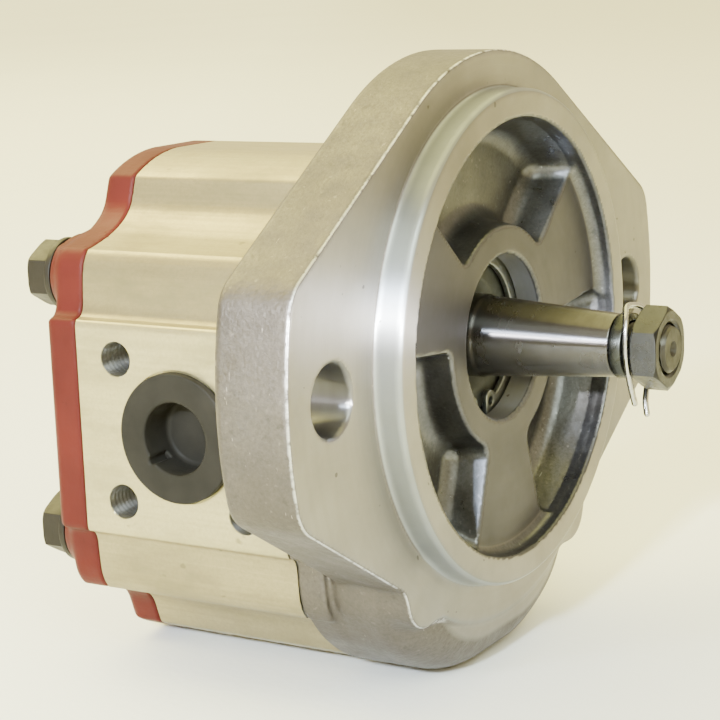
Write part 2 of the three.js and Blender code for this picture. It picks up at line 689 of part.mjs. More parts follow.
for (const [end, { outer, inner }] of Object.entries(bearingEnds)) {
  const towardsGear = Math.sign(inner - outer);
  const low = Math.min(outer, inner);
  const high = Math.max(outer, inner);
  const grooveFloor = outer + towardsGear * (PRESSURE_SEAL_THICKNESS + GAP);
  const groove = pressureSealShape(
    Math.min(outer - towardsGear, grooveFloor),
    Math.max(outer - towardsGear, grooveFloor),
    [PRESSURE_SEAL_RADII[0] - GAP, PRESSURE_SEAL_RADII[1] + GAP],
    -PRESSURE_SEAL_REACH - GAP,
  );
  const bearing = cut(
    twinRods(low, high, BLOCK_RADIUS, 36),
    twinRods(low - OVERRUN, high + OVERRUN, BUSH_OUTER_RADIUS + GAP, 24),
    groove,
  );
  add(end + "_bearing_block", bearing, "bearing_aluminium");
  for (const [shaft, z] of Object.entries(axes)) {
    const bush = ring(low + GAP, high - GAP, BUSH_INNER_RADIUS, BUSH_OUTER_RADIUS);
    add(shaft + "_" + end + "_bush", bush.translate([0, 0, z]), "bush_bronze");
  }
  const sealEnds = [outer, outer + towardsGear * PRESSURE_SEAL_THICKNESS];
  const seal = pressureSealShape(
    Math.min(...sealEnds),
    Math.max(...sealEnds),
    PRESSURE_SEAL_RADII,
    -PRESSURE_SEAL_REACH,
  );
  add(end + "_pressure_seal", seal, "nitrile_rubber");
}

// ---- Housing seals -----------------------------------------------------------------------------------

const bodySeal = (x0) => trackRing(x0, x0 + BODY_SEAL_THICKNESS, ...BODY_SEAL_RADII);
add("front_body_seal", bodySeal(BODY_FRONT - BODY_SEAL_THICKNESS), "nitrile_rubber");
add("rear_body_seal", bodySeal(BODY_REAR), "nitrile_rubber");

// Lip seal: a cased ring whose inner lip slopes in to the shaft.
const lipSeal = turned(
  [
    [SHAFT_SEAL_BACK, SHAFT_SEAL_RADIUS],
    [SHAFT_SEAL_FRONT, SHAFT_SEAL_RADIUS],
    [SHAFT_SEAL_FRONT, 9.6],
    [-6.6, 7.5],
    [-8.2, 7.5],
    [-9.2, 8.8],
    [-9.2, 11.6],
    [SHAFT_SEAL_BACK, 11.6],
    [SHAFT_SEAL_BACK, SHAFT_SEAL_RADIUS],
  ],
  32,
);
add("shaft_seal", lipSeal, "nitrile_rubber");

// Circlip that holds the lip seal, open at the bottom with an eye on each side of its opening.
function circlip() {
  const [x0, x1] = CIRCLIP;
  const { radius, hole, y, z } = CIRCLIP_EYE;
  const [before, after] = [x0 - OVERRUN, x1 + OVERRUN];
  const eyes = [-1, 1].map((side) => rod(x0, x1, radius, side * y, z));
  const eyeHoles = [-1, 1].map((side) => rod(before, after, hole, side * y, z, 8));
  const band = ring(x0, x1, CIRCLIP_INNER_RADIUS, RING_GROOVE_RADIUS - GAP, 32);
  const half = CIRCLIP_HALF_OPENING;
  const opening = block(before, after, -half, half, -SEAL_BORE_RADIUS - RING_GROOVE_RADIUS, z / 2);
  return cut(join(band, ...eyes), ...eyeHoles, opening);
}

add("seal_retaining_ring", circlip(), "nut_steel");

// ---- Housing bolts, washers and dowels ---------------------------------------------------------------

const washerBack = BOSS_BACK - GAP - BOLT_WASHER_THICKNESS;
const headFront = washerBack - GAP;
const headBack = headFront - BOLT_HEAD_HEIGHT;
for (const [place, [y, z]] of Object.entries(BOLT_AXES)) {
  const seat = new THREE.Group();
  seat.position.set(0, y, z);
  pump.add(seat);
  const bolt = join(
    hexPrism(headBack, headFront, BOLT_HEAD_ACROSS_FLATS, true, false),
    rod(headFront - OVERRUN, BOLT_TIP, BOLT_RADIUS),
  );
  add("cover_bolt_" + place, bolt, "black_steel", seat);
  const washer = ring(washerBack, BOSS_BACK - GAP, BOLT_HOLE_RADIUS, BOLT_WASHER_RADIUS, 24);
  add("bolt_washer_" + place, washer, "black_steel", seat);
}

const dowelJoints = {
  front: (COVER_JOINT + BODY_FRONT) / 2,
  rear: (BODY_REAR + REAR_COVER_FRONT) / 2,
};
for (const [end, x] of Object.entries(dowelJoints)) {
  for (const [place, side] of Object.entries({ left: -1, right: 1 })) {
    const pin = rod(x - DOWEL_LENGTH / 2, x + DOWEL_LENGTH / 2, DOWEL_RADIUS, 0, 0, 12);
    add(end + "_dowel_" + place, pin, "gear_steel").position.set(0, side * DOWEL_Y, MIDDLE_Z);
  }
}

// ---- Port plugs --------------------------------------------------------------------------------------

// A cupped plastic plug, turned about X, whose rim lies just off its seat in the port's pad.
function portPlug() {
  const rimBack = GAP - PORT_SEAT_DEPTH;
  const stem = PORT_RADIUS - GAP;
  return turned([
    [-PLUG_DEPTH, 0],
    [-PLUG_DEPTH, stem - PLUG_LEAD_IN],
    [PLUG_LEAD_IN - PLUG_DEPTH, stem],
    [rimBack, stem],
    [rimBack, PLUG_RADIUS],
    [PLUG_FRONT - PLUG_RIM_CHAMFER, PLUG_RADIUS],
    [PLUG_FRONT, PLUG_RADIUS - PLUG_RIM_CHAMFER],
    [PLUG_FRONT, PLUG_RECESS_RADIUS],
    [-PLUG_RECESS_DEPTH, PLUG_RECESS_RADIUS - PLUG_RECESS_TAPER],
    [-PLUG_RECESS_DEPTH, 0],
  ]);
}

for (const [port, side] of Object.entries(portSides)) {
  const plug = add(port + "_port_plug", portPlug(), "plug_plastic");
  plug.rotation.z = (side * Math.PI) / 2;
  plug.position.set(BODY_MIDDLE, side * BODY_HALF_WIDTH, MIDDLE_Z);
}

// ---- The pump stands on its housing, centred on X and Y ----------------------------------------------

pump.position.set(-(headBack + SHAFT_TIP) / 2, 0, BODY_HALF_HEIGHT - MIDDLE_Z);

const assembly = new THREE.Group();
assembly.add(pump);

export default assembly;
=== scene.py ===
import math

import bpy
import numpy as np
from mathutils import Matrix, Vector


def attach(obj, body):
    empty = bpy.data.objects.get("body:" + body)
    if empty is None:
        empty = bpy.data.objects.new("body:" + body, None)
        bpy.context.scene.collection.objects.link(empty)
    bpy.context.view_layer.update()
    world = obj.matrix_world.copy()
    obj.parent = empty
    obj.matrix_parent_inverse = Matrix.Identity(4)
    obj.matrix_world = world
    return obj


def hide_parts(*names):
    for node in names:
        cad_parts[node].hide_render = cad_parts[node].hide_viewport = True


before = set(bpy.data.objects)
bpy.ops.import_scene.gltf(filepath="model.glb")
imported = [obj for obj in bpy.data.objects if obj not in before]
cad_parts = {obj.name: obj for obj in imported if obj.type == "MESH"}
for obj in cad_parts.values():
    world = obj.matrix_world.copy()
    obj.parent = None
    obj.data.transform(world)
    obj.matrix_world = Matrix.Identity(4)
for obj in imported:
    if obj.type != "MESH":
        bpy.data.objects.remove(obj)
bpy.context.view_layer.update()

# Hydraulic gear pump: the looks of each piece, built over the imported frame.
#
# Shapes are written in the pump's own frame, in millimetres: X along the drive shaft with 0 on the mounting
# face, Y across the flange ears and Z up, the drive shaft's axis on Y = Z = 0. Most are signed distance
# fields, which give cast fillets, and are turned into meshes in the row frame, in metres.

MM = 0.001
SHAFT_HEIGHT = 56.5
FACE_X = 21.5  # where the mounting face lies along the row frame's X
ORIGIN = np.array([FACE_X, 0.0, SHAFT_HEIGHT])

PILOT_RADIUS, PILOT_HEIGHT = 41.275, 4.75
EAR_THICKNESS, EAR_REACH, EAR_CORNER = 13.0, 65.0, 7.0
FLANGE_RADIUS, FLANGE_TAPER = 47.5, math.radians(31.5)
RECESS_RADIUS, RECESS_FLOOR = 36.45, -5.5
HUB_RADIUS, HUB_FACE = 18.7, 1.4
COVER_JOINT, BODY_FRONT, BODY_REAR = -19.2, -19.5, -59.8
BODY_MIDDLE = (BODY_FRONT + BODY_REAR) / 2
COVER_BACK, PLATE_BACK, REAR_JOINT = -68.1, -66.5, -60.1
MIDDLE_Z, GEAR_CENTRES = -12.7, 25.4
FOOT_Z = -56.5
UPPER_BOLT, LOWER_BOLT = (26.6, 11.3), (27.2, -33.4)
BOLT_HOLE_RADIUS = 3.3
MOUNT_HOLE_Y, MOUNT_HOLE_RADIUS = 53.2, 5.55
DOWEL_Y, DOWEL_HOLE_RADIUS, DOWEL_DEPTH = 29, 2.3, 3.8
LUG_PLACE, LUG_RADIUS = (26.8, -36.8), 5.9
SEAL_BORE_RADIUS, SEAL_BORE_FLOOR = 13.8, -12.5
RING_GROOVE_RADIUS, SHAFT_HOLE_RADIUS, BOLT_HOLE_END = 14.7, 7.5, -4.8
GEAR_BORE_RADIUS = 15.4
PORT_RADIUS, PORT_SCREW_OFFSET, PORT_SCREW_RADIUS = 7.5, 12.15, 3.0
PLUG_RADIUS, PLUG_FRONT = 10.9, 1.4
FINE_PITCH = 0.55  # grid spacing for both covers and the body
WEBS = [math.radians(a) for a in (24, 156, 270)]

# ---- Distance fields -----------------------------------------------------------------------------


def both(a, b, radius=0.0):
    """What two fields share, its outer edge rounded to a radius."""
    if not radius:
        return np.maximum(a, b)
    corner = np.hypot(np.maximum(a + radius, 0), np.maximum(b + radius, 0))
    return np.minimum(-radius, np.maximum(a, b)) + corner


def either(a, b, radius=0.0):
    """Two fields joined, with a fillet of a radius between them."""
    if not radius:
        return np.minimum(a, b)
    corner = np.hypot(np.maximum(radius - a, 0), np.maximum(radius - b, 0))
    return np.maximum(radius, np.minimum(a, b)) - corner


def less(a, b, radius=0.0):
    return both(a, -b, radius)


def slab(value, low, high):
    return np.maximum(low - value, value - high)


def disc(y, z, radius, y0=0.0, z0=0.0):
    return np.hypot(y - y0, z - z0) - radius


def ramp(value, start, end):
    t = np.clip((value - start) / (end - start), 0, 1)
    return t * t * (3 - 2 * t)


def outline_distance(points, y, z):
    """Signed distance to a closed outline, negative inside."""
    nearest = np.inf
    sign = 1.0
    for (y0, z0), (y1, z1) in zip(points, points[1:] + points[:1]):
        ey, ez = y1 - y0, z1 - z0
        wy, wz = y - y0, z - z0
        t = np.clip((wy * ey + wz * ez) / (ey * ey + ez * ez), 0, 1)
        nearest = np.minimum(nearest, (wy - ey * t) ** 2 + (wz - ez * t) ** 2)
        above, below, left = z >= z0, z < z1, ey * wz > ez * wy
        sign = np.where((above & below & left) | ~(above | below | left), -sign, sign)
    return sign * np.sqrt(nearest)


def bezier(controls, steps):
    """Points of a quadratic or cubic curve, without its first."""
    out = []
    for i in range(1, steps + 1):
        level = [np.array(c, float) for c in controls]
        while len(level) > 1:
            level = [a + (b - a) * i / steps for a, b in zip(level, level[1:])]
        out.append(tuple(level[0]))
    return out


# ---- Meshes --------------------------------------------------------------------------------------

CORNERS = [(i, j, k) for i in (0, 1) for j in (0, 1) for k in (0, 1)]
PROBE, WIDE_PROBE = 0.02, 0.05  # how far each way a field's slope is measured


def unit_rows(vectors):
    return vectors / np.maximum(np.linalg.norm(vectors, axis=-1, keepdims=True), 1e-9)


def slopes(field, points, reach):
    out = np.empty_like(points)
    for k in range(3):
        step = np.zeros(3)
        step[k] = reach
        out[:, k] = field(*(points + step).T) - field(*(points - step).T)
    return out / (2 * reach)


def crossings(field, starts, unit, near, far, grid, pitch):
    """Where the surface cuts grid edges that start at some grid points, and its normals there."""
    low, high = np.zeros(len(starts)), np.ones(len(starts))
    for _ in range(3):
        t = low + (high - low) * near / (near - far)
        points = (starts + t[:, None] * unit) * pitch + grid
        value = field(*points.T)
        beyond = (value < 0) != (near < 0)
        high, far = np.where(beyond, t, high), np.where(beyond, value, far)
        low, near = np.where(beyond, low, t), np.where(beyond, near, value)
    return points, unit_rows(slopes(field, points, PROBE))


def settled(field, points, pitch):
    """Points moved on to the surface by two short steps down the slope."""
    for _ in range(2):
        slope = slopes(field, points, PROBE)
        move = field(*points.T)[:, None] * slope / np.maximum((slope**2).sum(1, keepdims=True), 0.25)
        points = points - np.clip(move, -0.3 * pitch, 0.3 * pitch)
    return points


def corner_normals(field, points, quads):
    """A normal for each corner of each quad: shared where the surface is smooth, its own at a crease."""
    smooth_slope, alike_cosine = 0.88, 0.6
    shared = slopes(field, points, WIDE_PROBE)
    whole = np.linalg.norm(shared, axis=1) > smooth_slope
    shared = unit_rows(shared)
    corners = points[quads]
    inward = corners + 0.25 * (corners.mean(1, keepdims=True) - corners)
    own = unit_rows(slopes(field, inward.reshape(-1, 3), PROBE)).reshape(corners.shape)
    alike = (own * shared[quads]).sum(2) > alike_cosine
    normals = np.where((whole[quads] & alike)[..., None], shared[quads], own)
    return normals.reshape(-1, 3)


def surface_net(field, low, high, pitch):
    """Quads over the surface where a field is zero, with true creases, and each quad corner's normal."""
    pitch = pitch * 1
    # The odd margin keeps the grid off flat faces that lie at low.
    axes = [np.arange(a - 1.37 * pitch, b + 2.4 * pitch, pitch) for a, b in zip(low, high)]
    grid = np.array([a[0] for a in axes])
    x, y, z = np.meshgrid(*axes, indexing="ij", sparse=True)
    values = np.ascontiguousarray(np.broadcast_to(field(x, y, z), [len(a) for a in axes]))
    inside = values < 0
    size = [len(a) - 1 for a in axes]
    count = np.zeros(size, np.int8)
    for i, j, k in CORNERS:
        count += inside[i : i + size[0], j : j + size[1], k : k + size[2]]
    cells = np.argwhere((count > 0) & (count < 8))
    index = np.full(size, -1, np.int64)
    index[tuple(cells.T)] = np.arange(len(cells))
    quads = []
    sums = np.zeros((len(cells), 16))
    for axis in range(3):
        unit = np.eye(3, dtype=int)[axis]
        u, v = [np.eye(3, dtype=int)[k] for k in range(3) if k != axis]
        before = np.take(inside, range(size[axis]), axis)
        after = np.take(inside, range(1, size[axis] + 1), axis)
        starts = np.argwhere(before != after)
        ring = [index[tuple((starts - s).T)] for s in (0 * u, u, u + v, v)]
        faces = np.stack(ring, 1)
        outward = before[tuple(starts.T)] != (axis == 1)
        quads.append(np.where(outward[:, None], faces, faces[:, ::-1]))
        near, far = values[tuple(starts.T)], values[tuple((starts + unit).T)]
        points, normals = crossings(field, starts, unit, near, far, grid, pitch)
        planes = (normals[:, :, None] * normals[:, None, :]).reshape(-1, 9)
        heights = normals * (normals * points).sum(1, keepdims=True)
        data = np.column_stack([planes, heights, points, np.ones(len(points))])
        for owner in ring:
            sums += np.stack([np.bincount(owner, column, len(cells)) for column in data.T], 1)
    quads = np.concatenate(quads)
    # Each vertex goes where the tangent planes round its cell meet, which is on the crease if there is one.
    planes, middle = sums[:, :9].reshape(-1, 3, 3), sums[:, 12:15] / sums[:, 15:]
    rest = sums[:, 9:12] - np.einsum("ijk,ik->ij", planes, middle)
    pull = 0.03  # towards the middle of the crossings, where the planes leave a vertex free to slide
    points = middle + np.linalg.solve(planes + pull * np.eye(3), rest[..., None])[..., 0]
    centres = (cells + 0.5) * pitch + grid
    points = np.clip(points, centres - 0.5 * pitch, centres + 0.5 * pitch)
    points = settled(field, points, pitch)
    return points, quads.tolist(), corner_normals(field, points, quads)


def ring_quads(rings, segments, closed=False):
    """Quads between rings of points that follow one another, the last joined to the first if closed."""
    quads = []
    for ring in range(rings if closed else rings - 1):
        here, there = ring * segments, (ring + 1) % rings * segments
        for i in range(segments):
            j = (i + 1) % segments
            quads.append((here + i, here + j, there + j, there + i))
    return quads


def ring_caps(rings, segments):
    """The two faces that close a run of rings."""
    last = (rings - 1) * segments
    return [tuple(range(segments))[::-1], tuple(range(last, last + segments))]


def reversed_faces(faces):
    return [face[::-1] for face in faces]


def softened(profile, radius, steps=3):
    """A turned profile with its corners rounded."""
    closed = profile[0] == profile[-1]
    points = [np.array(p, float) for p in (profile[:-1] if closed else profile)]
    out = []
    for i, p in enumerate(points):
        if not closed and i in (0, len(points) - 1):
            out.append(tuple(p))
            continue
        before, after = points[i - 1] - p, points[(i + 1) % len(points)] - p
        reach = min(radius, 0.45 * np.linalg.norm(before), 0.45 * np.linalg.norm(after))
        start = p + before / np.linalg.norm(before) * reach
        end = p + after / np.linalg.norm(after) * reach
        out.append(tuple(start))
        out.extend(bezier([start, p, end], steps))
    if closed:
        out.append(out[0])
    return out


def swept(path, radius, segments=16):
    """A round wire along a smooth path, with domed ends."""
    path = np.array(path, float)
    tangents = np.gradient(path, axis=0)
    tangents /= np.linalg.norm(tangents, axis=1, keepdims=True)
    side = np.cross(tangents[0], (0, 1, 0))
    rings = []
    for p, t in zip(path, tangents):
        side = side - t * np.dot(side, t)
        side /= np.linalg.norm(side)
        rings.append((p, t, side, np.cross(t, side), radius))
    domes = [(math.sin(a), math.cos(a)) for a in np.linspace(0.1, math.pi / 2, 4, endpoint=False)]
    first, last = rings[0], rings[-1]
    head = [(first[0] - first[1] * radius * c, first[1], first[2], first[3], radius * s) for s, c in domes]
    tail = [(last[0] + last[1] * radius * c, last[1], last[2], last[3], radius * s) for s, c in domes[::-1]]
    rings = head + rings + tail
    angles = np.linspace(0, 2 * np.pi, segments, endpoint=False)
    points = [p + r * (math.cos(a) * s + math.sin(a) * b) for p, t, s, b, r in rings for a in angles]
    return np.array(points), ring_quads(len(rings), segments) + ring_caps(len(rings), segments)


def extruded(outline, x0, x1):
    n = len(outline)
    points = [(x, y, z) for x in (x0, x1) for y, z in outline]
    faces = [(i, (i + 1) % n, n + (i + 1) % n, n + i) for i in range(n)]
    faces += [tuple(range(n))[::-1], tuple(range(n, 2 * n))]
    return np.array(points), faces


def piece(name, shells, materials, body="housing", stands_for=(), shift=(0, 0, 0), pick=None):
    """One object from shells of (points, faces) or (points, faces, normals), put in the row frame."""
    points = np.concatenate([shell[0] for shell in shells]) + np.array(shift)
    normals = [shell[2] for shell in shells if len(shell) == 3]
    faces = []
    start = 0
    for shell in shells:
        faces += [[i + start for i in face] for face in shell[1]]
        start += len(shell[0])
    mesh = bpy.data.meshes.new(name)
    mesh.from_pydata((points + ORIGIN) * MM, [], faces)
    mesh.update()
    mesh.shade_smooth()
    for m in materials:
        mesh.materials.append(m)
    if pick is not None:
        centres, directions = np.zeros((2, len(mesh.polygons) * 3))
        mesh.polygons.foreach_get("center", centres)
        mesh.polygons.foreach_get("normal", directions)
        chosen = pick(centres.reshape(-1, 3) / MM - ORIGIN, directions.reshape(-1, 3))
        mesh.polygons.foreach_set("material_index", chosen.astype(np.int32))
    made = bpy.data.objects.new(name, mesh)
    bpy.context.scene.collection.objects.link(made)
    if len(normals) == len(shells):
        mesh.normals_split_custom_set(np.concatenate(normals))
    else:
        mesh.set_sharp_from_angle(angle=math.radians(35))
    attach(made, body)
    if stands_for:
        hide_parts(*stands_for)
    return made


# ---- Materials -----------------------------------------------------------------------------------


class Finish:
    """A node material whose pieces are named by what they do."""

    def __init__(self, name):
        self.material = bpy.data.materials.new(name)
        self.material.use_nodes = True
        self.nodes = self.material.node_tree.nodes
        self.links = self.material.node_tree.links
        self.nodes.remove(self.nodes["Principled BSDF"])
        self.place = self.add("ShaderNodeTexCoord").outputs["Object"]

    def add(self, kind, inputs=(), **settings):
        node = self.nodes.new(kind)
        for key, value in settings.items():
            setattr(node, key, value)
        for key, value in dict(inputs).items():
            self.feed(node.inputs[key], value)
        return node

    def feed(self, socket, value):
        if isinstance(value, bpy.types.NodeSocket):
            self.links.new(value, socket)
        else:
            socket.default_value = value

    def skin(self, **values):
        """A shader with these values on its sockets."""
        node = self.add("ShaderNodeBsdfPrincipled")
        for key, value in values.items():
            self.feed(node.inputs[key.replace("_", " ")], value)
        return node.outputs[0]

    def made_of(self, base, *layers):
        """The finished material: a base shader under layers of (mask, shader)."""
        for mask, layer in layers:
            base = self.add("ShaderNodeMixShader", {0: mask, 1: base, 2: layer}).outputs[0]
        self.links.new(base, self.nodes["Material Output"].inputs["Surface"])
        return self.material

    def math(self, operation, a, b=0.0):
        return self.add("ShaderNodeMath", {0: a, 1: b}, operation=operation).outputs[0]

    def times(self, first, *others):
        for other in others:
            first = self.math("MULTIPLY", first, other)
        return first

    def except_for(self, mask):
        return self.math("SUBTRACT", 1.0, mask)

    def stretched(self, scale):
        return self.add("ShaderNodeMapping", {"Vector": self.place, "Scale": scale}).outputs[0]

    def noise(self, scale, detail=3.0, rough=0.55, where=None):
        inputs = {"Vector": where or self.place, "Scale": scale, "Detail": detail, "Roughness": rough}
        return self.add("ShaderNodeTexNoise", inputs).outputs["Fac"]

    def between(self, fac, low, high, to_low=0.0, to_high=1.0):
        inputs = {"Value": fac, "From Min": low, "From Max": high, "To Min": to_low, "To Max": to_high}
        return self.add("ShaderNodeMapRange", inputs).outputs[0]

    def mix(self, fac, a, b):
        node = self.add("ShaderNodeMix", data_type="RGBA")
        self.feed(node.inputs[0], fac)
        self.feed(node.inputs[6], a if isinstance(a, bpy.types.NodeSocket) else (*a, 1))
        self.feed(node.inputs[7], b if isinstance(b, bpy.types.NodeSocket) else (*b, 1))
        return node.outputs[2]

    def over(self, colour, pattern, low, high, share, tone):
        """A colour with up to a share of a tone over it where a pattern is high."""
        return self.mix(self.between(pattern, low, high, 0, share), colour, tone)

    def parts(self, vector):
        """A vector's X, Y and Z."""
        return self.add("ShaderNodeSeparateXYZ", {0: vector}).outputs[:3]

    def facing_way(self):
        """The direction that the surface faces."""
        return self.add("ShaderNodeNewGeometry").outputs["Normal"]

    def lines(self, along, scale, detail):
        """Random lines that follow one another along a distance."""
        inputs = {"W": along, "Scale": scale, "Detail": detail}
        return self.add("ShaderNodeTexNoise", inputs, noise_dimensions="1D").outputs["Fac"]

    def bump(self, height, distance, strength=1.0, normal=None):
        inputs = {"Height": height, "Distance": distance * MM, "Strength": strength}
        if normal is not None:
            inputs["Normal"] = normal
        return self.add("ShaderNodeBump", inputs).outputs[0]

    def axis_parts(self):
        """Distance from the drive shaft's axis, and the direction away from it."""
        to_axis = (0, 0, -SHAFT_HEIGHT * MM)
        centred = self.add("ShaderNodeVectorMath", {0: self.place, 1: to_axis}).outputs[0]
        across = self.add("ShaderNodeVectorMath", {0: centred, 1: (0, 1, 1)}, operation="MULTIPLY")
        across = across.outputs[0]
        radius = self.add("ShaderNodeVectorMath", {0: across}, operation="LENGTH").outputs["Value"]
        outward = self.add("ShaderNodeVectorMath", {0: across}, operation="NORMALIZE").outputs[0]
        return radius, outward


def shade(tone, share):
    """A tone with a share of its light, or with more of it, up to white."""
    return [min(1, c * share) for c in tone]


def cast_metal(f, light, dark, roughness=0.45, grain=0.10, metallic=0.85):
    clouds = f.noise(55, 4, 0.6)
    specks = f.noise(700, 2, 0.6)
    colour = f.mix(f.between(clouds, 0.35, 0.68), dark, light)
    colour = f.over(colour, specks, 0.62, 0.74, 0.55, shade(dark, 0.62))
    glints = f.noise(1100, 1, 0.5)
    colour = f.over(colour, glints, 0.68, 0.78, 0.6, shade(light, 1.5))
    rough = f.between(f.noise(240, 4, 0.65), 0.3, 0.7, roughness - 0.08, roughness + 0.12)
    grains = f.noise(1700, 2, 0.7)
    colour = f.over(colour, grains, 0.38, 0.66, 0.5, shade(dark, 0.72))
    nicks = f.noise(1.0, 2, 0.5, f.stretched((1500, 160, 420)))
    colour = f.over(colour, nicks, 0.735, 0.76, 0.8, shade(light, 2.2))
    skin = f.bump(f.noise(1300, 3, 0.6), grain)
    skin = f.bump(f.noise(130, 2, 0.5), 0.2, 0.4, skin)
    return f.skin(Base_Color=colour, Metallic=metallic, Roughness=rough, Normal=skin)


def turned_metal(f, light, dark, roughness, facing, grooves=0.01, stretch=0.95):
    """Lathe-turned metal. facing says whether the grooves run round on a flat face or round a cylinder."""
    radius, outward = f.axis_parts()
    if facing:
        along, tangent = radius, outward
    else:
        along = f.parts(f.place)[0]
        tangent = f.add("ShaderNodeCombineXYZ", {0: 1.0}).outputs[0]
    lines, broad = f.lines(along, 5200, 2), f.lines(along, 420, 3)
    stain = f.noise(70, 4, 0.6)
    colour = f.mix(f.between(stain, 0.35, 0.7), light, dark)
    colour = f.over(colour, broad, 0.35, 0.7, 0.35, dark)
    pits = f.noise(520, 1, 0.5)
    colour = f.over(colour, pits, 0.765, 0.79, 0.8, shade(dark, 0.35))
    rough = f.between(stain, 0.3, 0.7, roughness - 0.04, roughness + 0.06)
    skin = f.bump(lines, grooves)
    return f.skin(
        Base_Color=colour, Metallic=0.95, Roughness=rough, Normal=skin, Anisotropic=stretch, Tangent=tangent
    )


def extruded_metal(f, light, dark, roughness=0.36):
    """Drawn aluminium with faint die lines and stains along X."""
    streaks = f.noise(1.0, 4, 0.6, f.stretched((12, 900, 900)))
    stain = f.noise(1.0, 4, 0.65, f.stretched((60, 140, 140)))
    spots = f.noise(1.0, 2, 0.5, f.stretched((260, 420, 420)))
    colour = f.mix(f.between(streaks, 0.3, 0.72), light, dark)
    colour = f.over(colour, stain, 0.45, 0.7, 0.75, shade(dark, 0.74))
    colour = f.over(colour, spots, 0.72, 0.77, 0.7, shade(dark, 0.45))
    grains = f.noise(1500, 2, 0.7)
    colour = f.over(colour, grains, 0.4, 0.68, 0.4, shade(dark, 0.8))
    rough = f.between(stain, 0.3, 0.7, roughness - 0.06, roughness + 0.1)
    skin = f.bump(streaks, 0.03)
    skin = f.bump(f.noise(900, 2, 0.6), 0.015, 1, skin)
    sides = {0: f.facing_way(), 1: (1, 0, 0)}
    across = f.add("ShaderNodeVectorMath", sides, operation="CROSS_PRODUCT").outputs[0]
    return f.skin(
        Base_Color=colour, Metallic=0.8, Roughness=rough, Normal=skin, Anisotropic=0.4, Tangent=across
    )


def painted_metal(f, light, dark):
    """Paint over a cast skin, with faint orange peel and thin wear."""
    tone = f.noise(60, 3, 0.6)
    colour = f.mix(f.between(tone, 0.35, 0.7), light, dark)
    colour = f.over(colour, f.noise(620, 2, 0.5), 0.7, 0.78, 0.4, shade(dark, 0.6))
    skin = f.bump(f.noise(480, 2, 0.5), 0.06)
    skin = f.bump(f.noise(1500, 2, 0.5), 0.03, 0.6, skin)
    rough = f.between(tone, 0.3, 0.7, 0.4, 0.55)
    return f.skin(Base_Color=colour, Roughness=rough, Normal=skin, Specular_IOR_Level=0.12)


def ground_metal(f, light, dark, roughness=0.3):
    """Ground steel, with fine grinding rings round its axis along X."""
    lines = f.noise(1.0, 3, 0.7, f.stretched((4200, 60, 60)))
    haze = f.noise(1.0, 4, 0.6, f.stretched((260, 130, 130)))
    colour = f.mix(f.between(haze, 0.35, 0.7), light, dark)
    colour = f.over(colour, lines, 0.4, 0.8, 0.3, dark)
    rough = f.between(haze, 0.3, 0.7, roughness - 0.01, roughness + 0.04)
    skin = f.bump(lines, 0.003)
    along = f.add("ShaderNodeCombineXYZ", {0: 1.0}).outputs[0]
    return f.skin(
        Base_Color=colour, Metallic=1.0, Roughness=rough, Normal=skin, Anisotropic=0.95, Tangent=along
    )


def bored_metal(f, light, dark, roughness=0.3):
    """The bright wall of a tapped hole along Y."""
    lines = f.noise(1.0, 3, 0.7, f.stretched((90, 3600, 90)))
    colour = f.mix(f.between(lines, 0.4, 0.65), light, dark)
    along = f.add("ShaderNodeCombineXYZ", {1: 1.0}).outputs[0]
    skin = f.bump(lines, 0.006)
    rough = f.between(lines, 0.3, 0.7, roughness - 0.04, roughness + 0.06)
    return f.skin(
        Base_Color=colour, Metallic=1.0, Roughness=rough, Normal=skin, Anisotropic=0.9, Tangent=along
    )


def dull_metal(f, light, dark, roughness=0.42, metallic=0.8, grain=0.03, front=1.0):
    """Plated or blackened steel, mottled. front is how bright its faces along +X are: painted shade, their
    colour its light tone times this share.
    """
    tone = f.noise(190, 4, 0.65)
    colour = f.mix(f.between(tone, 0.35, 0.68), light, dark)
    nx = f.parts(f.facing_way())[0]
    # Faces along +X take the light tone times front: painted shade where front is below 1.
    colour = f.mix(f.between(nx, 0.6, 0.9), colour, shade(light, front))
    colour = f.over(colour, f.noise(1500, 2, 0.5), 0.62, 0.75, 0.5, shade(dark, 0.5))
    rough = f.between(f.noise(420, 3, 0.6), 0.3, 0.7, roughness - 0.08, roughness + 0.12)
    return f.skin(
        Base_Color=colour, Metallic=metallic, Roughness=rough, Normal=f.bump(f.noise(1800, 3, 0.6), grain)
    )


def moulded(f, light, dark, roughness=0.5, grain=0.02, shine=0.3):
    """Plastic or rubber straight from its mould."""
    tone = f.noise(150, 4, 0.6)
    colour = f.mix(f.between(tone, 0.35, 0.7), light, dark)
    rough = f.between(f.noise(600, 3, 0.6), 0.3, 0.7, roughness - 0.06, roughness + 0.1)
    skin = f.bump(f.noise(2400, 2, 0.5), grain)
    return f.skin(Base_Color=colour, Roughness=rough, Normal=skin, Specular_IOR_Level=shine)


def finish(name, maker, *settings):
    f = Finish(name)
    return f.made_of(maker(f, *settings))


